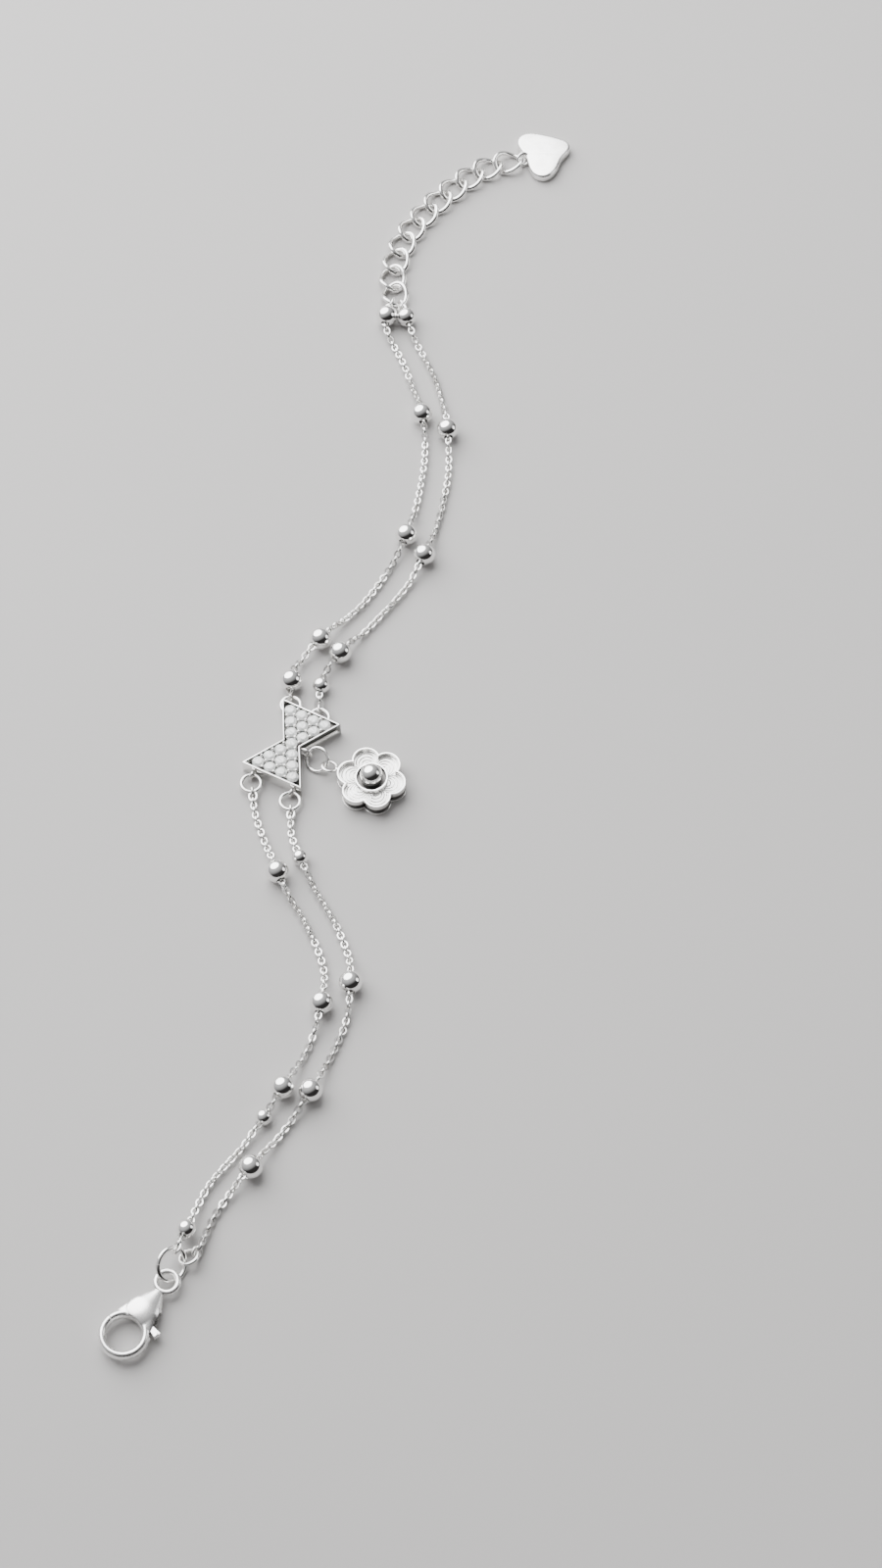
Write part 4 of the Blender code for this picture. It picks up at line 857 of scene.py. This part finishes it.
def build_plate():
    """The bow-shaped setting with its tray, posts and loops; the stones and prongs sit in the tray."""
    wide = PLATE_WAIST + PLATE_HALF * math.tan(PLATE_FLARE)
    bpy.ops.mesh.primitive_plane_add(size=2.0 * MM)
    setting = bpy.context.object
    open_edit(setting, everything=True)
    bpy.ops.transform.resize(value=(wide, PLATE_HALF, 1.0))
    bpy.ops.mesh.bisect(plane_co=(0.0, 0.0, 0.0), plane_no=(0.0, 1.0, 0.0), threshold=HAIR * MM)
    pick("verts", lambda vert: abs(vert.co.y) < 0.1 * MM)
    bpy.ops.transform.resize(value=(PLATE_WAIST / wide, 1.0, 1.0))
    bpy.ops.mesh.select_all(action="SELECT")
    extrude(PLATE_H)
    pick("faces", lambda face: abs(face.normal.z) > 0.9 and face.calc_center_median().z > 0.9 * PLATE_H * MM)
    bpy.ops.mesh.inset(thickness=PLATE_RIM * MM, use_even_offset=True)
    extrude(-TRAY_DEPTH)
    pick("faces", lambda face: abs(face.normal.z) < 0.1 and abs(face.normal.x) > 0.5
         and face.calc_area() > PLATE_H * PLATE_HALF * MM * MM)
    bpy.ops.mesh.inset(thickness=GALLERY_EDGE * MM, depth=-GALLERY_DEPTH * MM, use_individual=True)
    close_edit()
    tidy_mesh(setting)
    round_edges(setting, 0.06, 2, 25.0)
    low, high = RING_Z - NOTCH_HALF, RING_Z + NOTCH_HALF
    for offset in POST_SPOTS:
        combine(setting, rod(NOTCH_R, low, high, 48, (offset, PLATE_HALF + NOTCH_OUT)), "DIFFERENCE")
        combine(setting, rod(POST_R, low - 0.1, high + 0.1, 20, (offset, PLATE_HALF - POST_BACK)), "UNION")
    across, along, outwards = Vector((1.0, 0.0, 0.0)), Vector((0.0, 1.0, 0.0)), Vector((0.0, -1.0, 0.0))
    for offset in LOOP_SPOTS:
        loop = soldered_ring(LOOP_R, LOOP_WIRE)
        settle(loop, frame_of(Vector((offset, -PLATE_HALF - LOOP_OUT, RING_Z)), outwards, across))
        combine(setting, loop, "UNION")
    place = Vector((PLATE_WAIST + SIDE_LOOP_OUT, 0.0, CHARM_Z))
    loop = soldered_ring(SIDE_LOOP_R, LOOP_WIRE)
    settle(loop, frame_of(place, across, along))
    combine(setting, loop, "UNION")
    stem = bar(Vector((PLATE_WAIST - 0.8, 0.0, CHARM_Z)), place - Vector((0.8, 0.0, 0.0)), SIDE_STEM_R)
    combine(setting, stem, "UNION")
    # Painted shade: the tray's floor and the hollows in the slanted sides take the dark finish.
    tray, band = (PLATE_H - TRAY_DEPTH) * MM, GALLERY_EDGE * MM
    painted_shade_faces = faces_where(setting, lambda face: (face.normal.z > 0.9 and abs(face.center.z - tray) < 0.1 * band)
                       or (abs(face.normal.z) < 0.1 and abs(face.normal.x) > 0.5
                           and band < face.center.z < PLATE_H * MM - band and face.area > 2.0 * MM * MM))
    matrix = placed(PLATE_PLACE, (0.0, 0.0, PLATE_TURN))
    settle(setting, matrix)
    hand_over(setting, "plate_setting", POLISHED, ["stone_plate"], angle=35.0, recess=painted_shade_faces)

    stones = stone_places()
    cut = brilliant()
    copies = []
    for number, spot in enumerate(stones):
        copy = twin(cut)
        turn = Matrix.Rotation(0.7 * number, 4, "Z") @ Matrix.Rotation(0.05 * math.sin(5.0 * number), 4, "X")
        seat = Matrix.Translation(Vector((spot.x, spot.y, PLATE_H - STONE_SUNK)) * MM)
        copies.append(settle(copy, matrix @ seat @ turn))
    field = join(copies)
    # Painted light: each facet gets a fixed tone, bright or greyer, in place of the light and shade it would catch.
    facet = field.data.attributes.new("facet_painted_light", "FLOAT", "FACE")
    for number, value in enumerate(facet.data):
        value.value = 0.5 + 0.5 * math.sin(number * 2.399 + 1.7 * math.sin(number * 0.61))
    hand_over(field, "plate_stones", STONE_FINISH, ["stone_plate"], angle=4.0)
    discard(cut)

    foot = PLATE_H - TRAY_DEPTH - 0.1
    profile = [(0.0, foot), (PRONG_R, foot), (PRONG_R, PLATE_H - 0.05)]
    profile += arc_profile((0.0, PLATE_H + 0.06), PRONG_HEAD, 125.0, 0.0, 7)
    head = turned(profile, 12)
    copies = []
    for spot in prong_places(stones):
        copies.append(settle(twin(head), matrix @ Matrix.Translation(Vector((spot.x, spot.y, 0.0)) * MM)))
    hand_over(join(copies), "plate_prongs", POLISHED, ["stone_plate"])
    discard(head)


# ---------------------------------------------------------------- flower charm

def build_flower():
    """Six turned petals cut to wedges and joined, a turned cup with its ball, and a soldered loop."""
    petal = turned(PETAL_SECTION, 72)
    round_edges(petal, 0.06, 3, 35.0)
    arcs = []
    for radius, inwards in PETAL_ARCS:
        arc = soldered_ring(radius, ARC_WIRE, 64, 8)
        arcs.append(settle(arc, Matrix.Translation(Vector((PETAL_REACH - inwards, 0.0, ARC_Z)) * MM)))
    settle(petal, Matrix.Translation((PETAL_REACH * MM, 0.0, 0.0)))
    matrix = placed(FLOWER_PLACE, (0.0, 0.0, FLOWER_TURN))
    floor = rod(PETAL_R - 0.31, 1.7, 1.765, 72, (PETAL_REACH, 0.0))
    for name, shapes, finish in (("flower_petals", [petal], POLISHED), ("flower_petal_arcs", arcs, POLISHED),
                                 ("flower_petal_floors", [floor], SATIN_FINISH)):
        wedge = join(shapes)
        open_edit(wedge)
        for side in (1.0, -1.0):
            slice_off((0.0, 0.0, 0.0), (-math.sin(math.pi / PETALS), side * math.cos(math.pi / PETALS), 0.0))
        close_edit()
        copies = [settle(twin(wedge), Matrix.Rotation(TURN * k / PETALS, 4, "Z")) for k in range(PETALS)]
        discard(wedge)
        whole = tidy_mesh(join(copies))
        if name == "flower_petals":
            combine(whole, rod(*CUP_ROOM, 64), "DIFFERENCE")
        # Painted shade on the petals' recessed side walls.
        painted_shade_faces = faces_where(whole, lambda face: 0.47 * MM < face.center.z < 1.48 * MM)
        hand_over(settle(whole, matrix), name, finish, ["flower_charm"], angle=35.0, recess=painted_shade_faces)

    cup = turned(CUP_SECTION + arc_profile((0.0, BALL_Z), BALL_R, 139.0, 0.0, 24), 64)
    # Painted shade in the groove between the cup's rim and the ball.
    painted_shade_faces = faces_where(cup, lambda face: 1.85 * MM < face.center.z < 2.5 * MM and face.center.xy.length < 2.3 * MM
                       and (face.center.xy.length > 1.8 * MM or face.normal.z > 0.9))
    hand_over(settle(cup, matrix), "flower_cup_and_ball", BEAD_FINISH, ["flower_charm"],
              angle=45.0, recess=painted_shade_faces)

    way = flat_way(FLOWER_WAY)
    centre = Vector(FLOWER_PLACE)
    loop_at = centre - FLOWER_REACH * way + UP * CHARM_Z
    loop = soldered_ring(*FLOWER_LOOP)
    settle(loop, Matrix.Translation(SHIFT) @ frame_of(loop_at, way, rolled(way, FLOWER_LOOP_ROLL)))
    arm = bar(loop_at + 1.0 * way, centre - 4.4 * way + UP * CHARM_Z, FLOWER_ARM_R)
    settle(arm, Matrix.Translation(SHIFT))
    combine(loop, arm, "UNION")
    hand_over(loop, "flower_hanging_loop", POLISHED, ["flower_charm"])


# ---------------------------------------------------------------- end tag

def build_tag():
    """A plain three-lobed tag with soft edges, and the loop soldered to it."""
    bpy.ops.mesh.primitive_circle_add(vertices=96, radius=TAG_WAIST * MM, fill_type="NGON")
    tag = bpy.context.object
    open_edit(tag)
    mesh = bmesh.from_edit_mesh(tag.data)
    for vert in mesh.verts:
        degrees = math.degrees(math.atan2(vert.co.y, vert.co.x))
        grow = 1.0
        for place, share, width in TAG_LOBES:
            away = (degrees - place + 180.0) % 360.0 - 180.0
            grow += (share - 1.0) * math.exp(-(away / width) ** 2)
        vert.co *= grow
    bmesh.update_edit_mesh(tag.data)
    bpy.ops.mesh.select_all(action="SELECT")
    extrude(TAG_H)
    close_edit()
    tidy_mesh(tag)
    round_edges(tag, TAG_EDGE, 6, 60.0)
    way = flat_way(TAG_WAY)
    loop = soldered_ring(*TAG_LOOP)
    settle(loop, frame_of(-TAG_REACH * way + TAG_LOOP_Z * UP, way, rolled(way, TAG_LOOP_ROLL)))
    combine(tag, loop, "UNION")
    settle(tag, placed(TAG_PLACE))
    hand_over(tag, "plain_end_tag", CAST_FINISH, ["end_tag"], angle=35.0)


# ---------------------------------------------------------------- clasp

def clasp_blank():
    """The clasp before its gate is cut: turned body, shoulders into the hook, the hook's hole and its ring."""
    between = CLASP_LOOP_AT - CLASP_NECK - BODY_SEAT
    lean = math.degrees(math.acos((BODY_R - TIP_R) / between))
    profile = arc_profile((0.0, between), TIP_R, 0.0, lean, 8) + arc_profile((0.0, 0.0), BODY_R, lean, 180.0, 28)
    blank = turned(profile, 56)
    flatten = Matrix.Diagonal((1.0, 1.0, BODY_H / (2.0 * BODY_R), 1.0))
    settle(blank, Matrix.Translation((BODY_SEAT * MM, 0.0, 0.0)) @ flatten @ Matrix.Rotation(math.pi / 2.0, 4, "Y"))
    tidy_mesh(blank)
    for side in (1.0, -1.0):
        start = Vector((SHOULDER_FROM[0], side * SHOULDER_FROM[1], 0.0))
        end = Vector((SHOULDER_TO[0], side * SHOULDER_TO[1], 0.0))
        bpy.ops.mesh.primitive_cone_add(vertices=40, radius1=SHOULDER_R[0] * MM, radius2=SHOULDER_R[1] * MM,
                                        depth=(end - start).length * MM,
                                        location=(0.0, 0.0, (end - start).length / 2.0 * MM))
        shoulder = settle(bpy.context.object)
        flat = Matrix.Diagonal((1.0, 1.0, SHOULDER_FLAT, 1.0))
        settle(shoulder, flat @ Matrix.Translation(start * MM) @ towards(end - start))
        combine(blank, shoulder, "UNION")
    combine(blank, rod(HOOK_HOLE_R + 0.1, -BODY_H, BODY_H, 72), "DIFFERENCE")
    hook = soldered_ring(HOOK_HOLE_R + HOOK_LIMB / 2.0, HOOK_LIMB, 72, 20, HOOK_H / HOOK_LIMB)
    combine(blank, hook, "UNION")
    apply_modifier(blank, "REMESH", mode="VOXEL", voxel_size=CAST_GRAIN * MM, use_smooth_shade=True)
    apply_modifier(blank, "SMOOTH", factor=0.5, iterations=CAST_SMOOTHING)
    return blank


def at_pin(obj):
    return settle(obj, Matrix.Translation(PIN * MM))


def pin_sector(reach, half, start, end, steps):
    return at_pin(sector(0.0, reach, -half, half, start, end, steps))


def pin_gate(inner, outer, start, end):
    return at_pin(sector(inner, outer, -BODY_H, BODY_H, start, end, 28))


def pin_round(radius, half, sides):
    return at_pin(rod(radius, -half, half, sides))


def build_clasp():
    """Body and lever cut from one blank, so that the gate closes the hook's round."""
    body = clasp_blank()
    gate = twin(body)
    loop = soldered_ring(CLASP_LOOP_R, CLASP_LOOP_WIRE, 48, 16)
    combine(body, settle(loop, Matrix.Translation((CLASP_LOOP_AT * MM, 0.0, 0.0))), "UNION")
    combine(body, pin_gate(*GATE_ROOM), "DIFFERENCE")
    combine(body, pin_sector(*HUB_SLOT), "DIFFERENCE")
    combine(body, pin_round(*HUB_ROOM), "DIFFERENCE")
    combine(body, pin_sector(*ARM_SLOT), "DIFFERENCE")
    combine(body, pin_round(PIN_R, 0.8, 24), "UNION")
    body = drop_scraps(body)
    matrix = placed(CLASP_PLACE, (0.0, 0.0, CLASP_TURN))
    hand_over(settle(body, matrix), "clasp_cast_body", CAST_FINISH, ["clasp_body"], angle=32.0)

    combine(gate, pin_gate(*GATE), "INTERSECT")
    gate = drop_scraps(gate)
    lever = pin_round(*HUB)
    combine(lever, pin_sector(*WEB), "UNION")
    combine(lever, pin_sector(*ARM), "UNION")
    combine(lever, gate, "UNION")
    combine(lever, pin_round(*PIN_BORE), "DIFFERENCE")
    inner, outer, half, start, end = GRIP
    grip = round_edges(sector(inner, outer, -half, half, start, end, 1), GRIP_EDGE, 3)
    combine(lever, at_pin(grip), "UNION")
    hand_over(settle(lever, matrix), "clasp_gate_lever", CAST_FINISH, ["clasp_lever"],
              body="clasp_gate", angle=32.0)


# ---------------------------------------------------------------- assembly

cable_link = wire_oval((CABLE_LENGTH - CABLE_WIRE) / 2.0, (CABLE_WIDTH - CABLE_WIRE) / 2.0, CABLE_WIRE, 3, 1)
bead = smooth_bead()
for strand in STRANDS:
    build_strand(strand, cable_link, bead)
discard(cable_link)
discard(bead)

for ring_name, (spot, tilt, size, seam_at) in RINGS.items():
    ring = settle(jump_ring(*size, seam_at), placed(spot, tilt))
    hand_over(ring, ring_name.replace("link", "jump_ring") + "_wire", POLISHED, [ring_name],
              angle=50.0)

curb_link = wire_oval(LINK_HALF_LENGTH, LINK_HALF_WIDTH, LINK_WIRE, 14, 5)
apply_modifier(curb_link, "SIMPLE_DEFORM", deform_method="TWIST", deform_axis="X", angle=LINK_TWIST)
for number, (spot, tilt) in enumerate(LINKS, 1):
    link = settle(twin(curb_link), placed(spot, tilt))
    hand_over(link, "curb_link_%d" % number, POLISHED, ["extender_link_%d" % number], angle=60.0)
discard(curb_link)

build_plate()
build_flower()
build_tag()
build_clasp()


# ---------------------------------------------------------------- studio

def floor_finish():
    material, nodes, links, shader = new_finish("pale_tabletop")
    place = nodes.new("ShaderNodeTexCoord")
    cloud = noise(nodes, links, place.outputs["Object"], 9.0, 3.0)
    tone = blend(nodes, links, cloud, (0.44, 0.43, 0.425), (0.48, 0.47, 0.463))
    links.new(tone, shader.inputs["Base Color"])
    links.new(map_node(nodes, links, cloud, 0.0, 1.0, 0.65, 0.8), shader.inputs["Roughness"])
    return material


def build_floor():
    bpy.ops.mesh.primitive_plane_add(size=6.0)
    floor = bpy.context.object
    open_edit(floor, everything=True)
    bpy.ops.mesh.subdivide(number_cuts=4)
    close_edit()
    floor.name = "tabletop"
    floor.data.materials.append(floor_finish())


def soft_light(name, direction, distance, size, power):
    """A round softbox that looks at the middle of the table."""
    data = bpy.data.lights.new(name, "AREA")
    data.shape = "DISK"
    data.size = size
    data.energy = power
    lamp = add_to_scene(bpy.data.objects.new(name, data))
    lamp.location = Vector(direction).normalized() * distance
    lamp.rotation_euler = (-lamp.location).to_track_quat("-Z", "Y").to_euler()


def build_studio():
    """A broad softbox behind and to the left, a weak fill, and a room that is bright only round the softbox."""
    soft_light("broad_softbox", SOFTBOX_WAY, 0.55, 0.8, 11.0)
    soft_light("right_fill", (0.9, 0.1, 0.4), 0.6, 0.3, 0.6)
    world = bpy.data.worlds.new("studio_air")
    world.use_nodes = True
    bpy.context.scene.world = world
    nodes, links = world.node_tree.nodes, world.node_tree.links
    place = nodes.new("ShaderNodeTexCoord")
    nearness = nodes.new("ShaderNodeVectorMath")
    nearness.operation = "DOT_PRODUCT"
    nearness.inputs[1].default_value = Vector(SOFTBOX_WAY).normalized()
    links.new(place.outputs["Generated"], nearness.inputs[0])
    ramp = nodes.new("ShaderNodeValToRGB")
    ramp.color_ramp.elements[0].color = (0.03, 0.028, 0.028, 1.0)
    ramp.color_ramp.elements[0].position = 0.5
    ramp.color_ramp.elements[1].color = (0.9, 0.9, 0.91, 1.0)
    ramp.color_ramp.elements[1].position = 0.95
    links.new(map_node(nodes, links, nearness.outputs["Value"], -1.0, 1.0, 0.0, 1.0), ramp.inputs["Fac"])
    links.new(ramp.outputs["Color"], nodes["Background"].inputs["Color"])
    nodes["Background"].inputs["Strength"].default_value = 1.0


def build_camera():
    """The photograph's view: 60 degrees above the table, square across it."""
    data = bpy.data.cameras.new("view")
    data.lens = VIEW_LENS
    data.sensor_fit = "VERTICAL"
    data.sensor_height = VIEW_SENSOR
    camera = add_to_scene(bpy.data.objects.new("view", data))
    aim = Vector(VIEW_AIM) * MM + SHIFT
    back = Vector((0.0, -math.cos(VIEW_ELEVATION), math.sin(VIEW_ELEVATION)))
    camera.location = aim + back * VIEW_DISTANCE * MM
    camera.rotation_euler = (aim - camera.location).to_track_quat("-Z", "Y").to_euler()
    bpy.context.scene.camera = camera


build_floor()
build_studio()
build_camera()
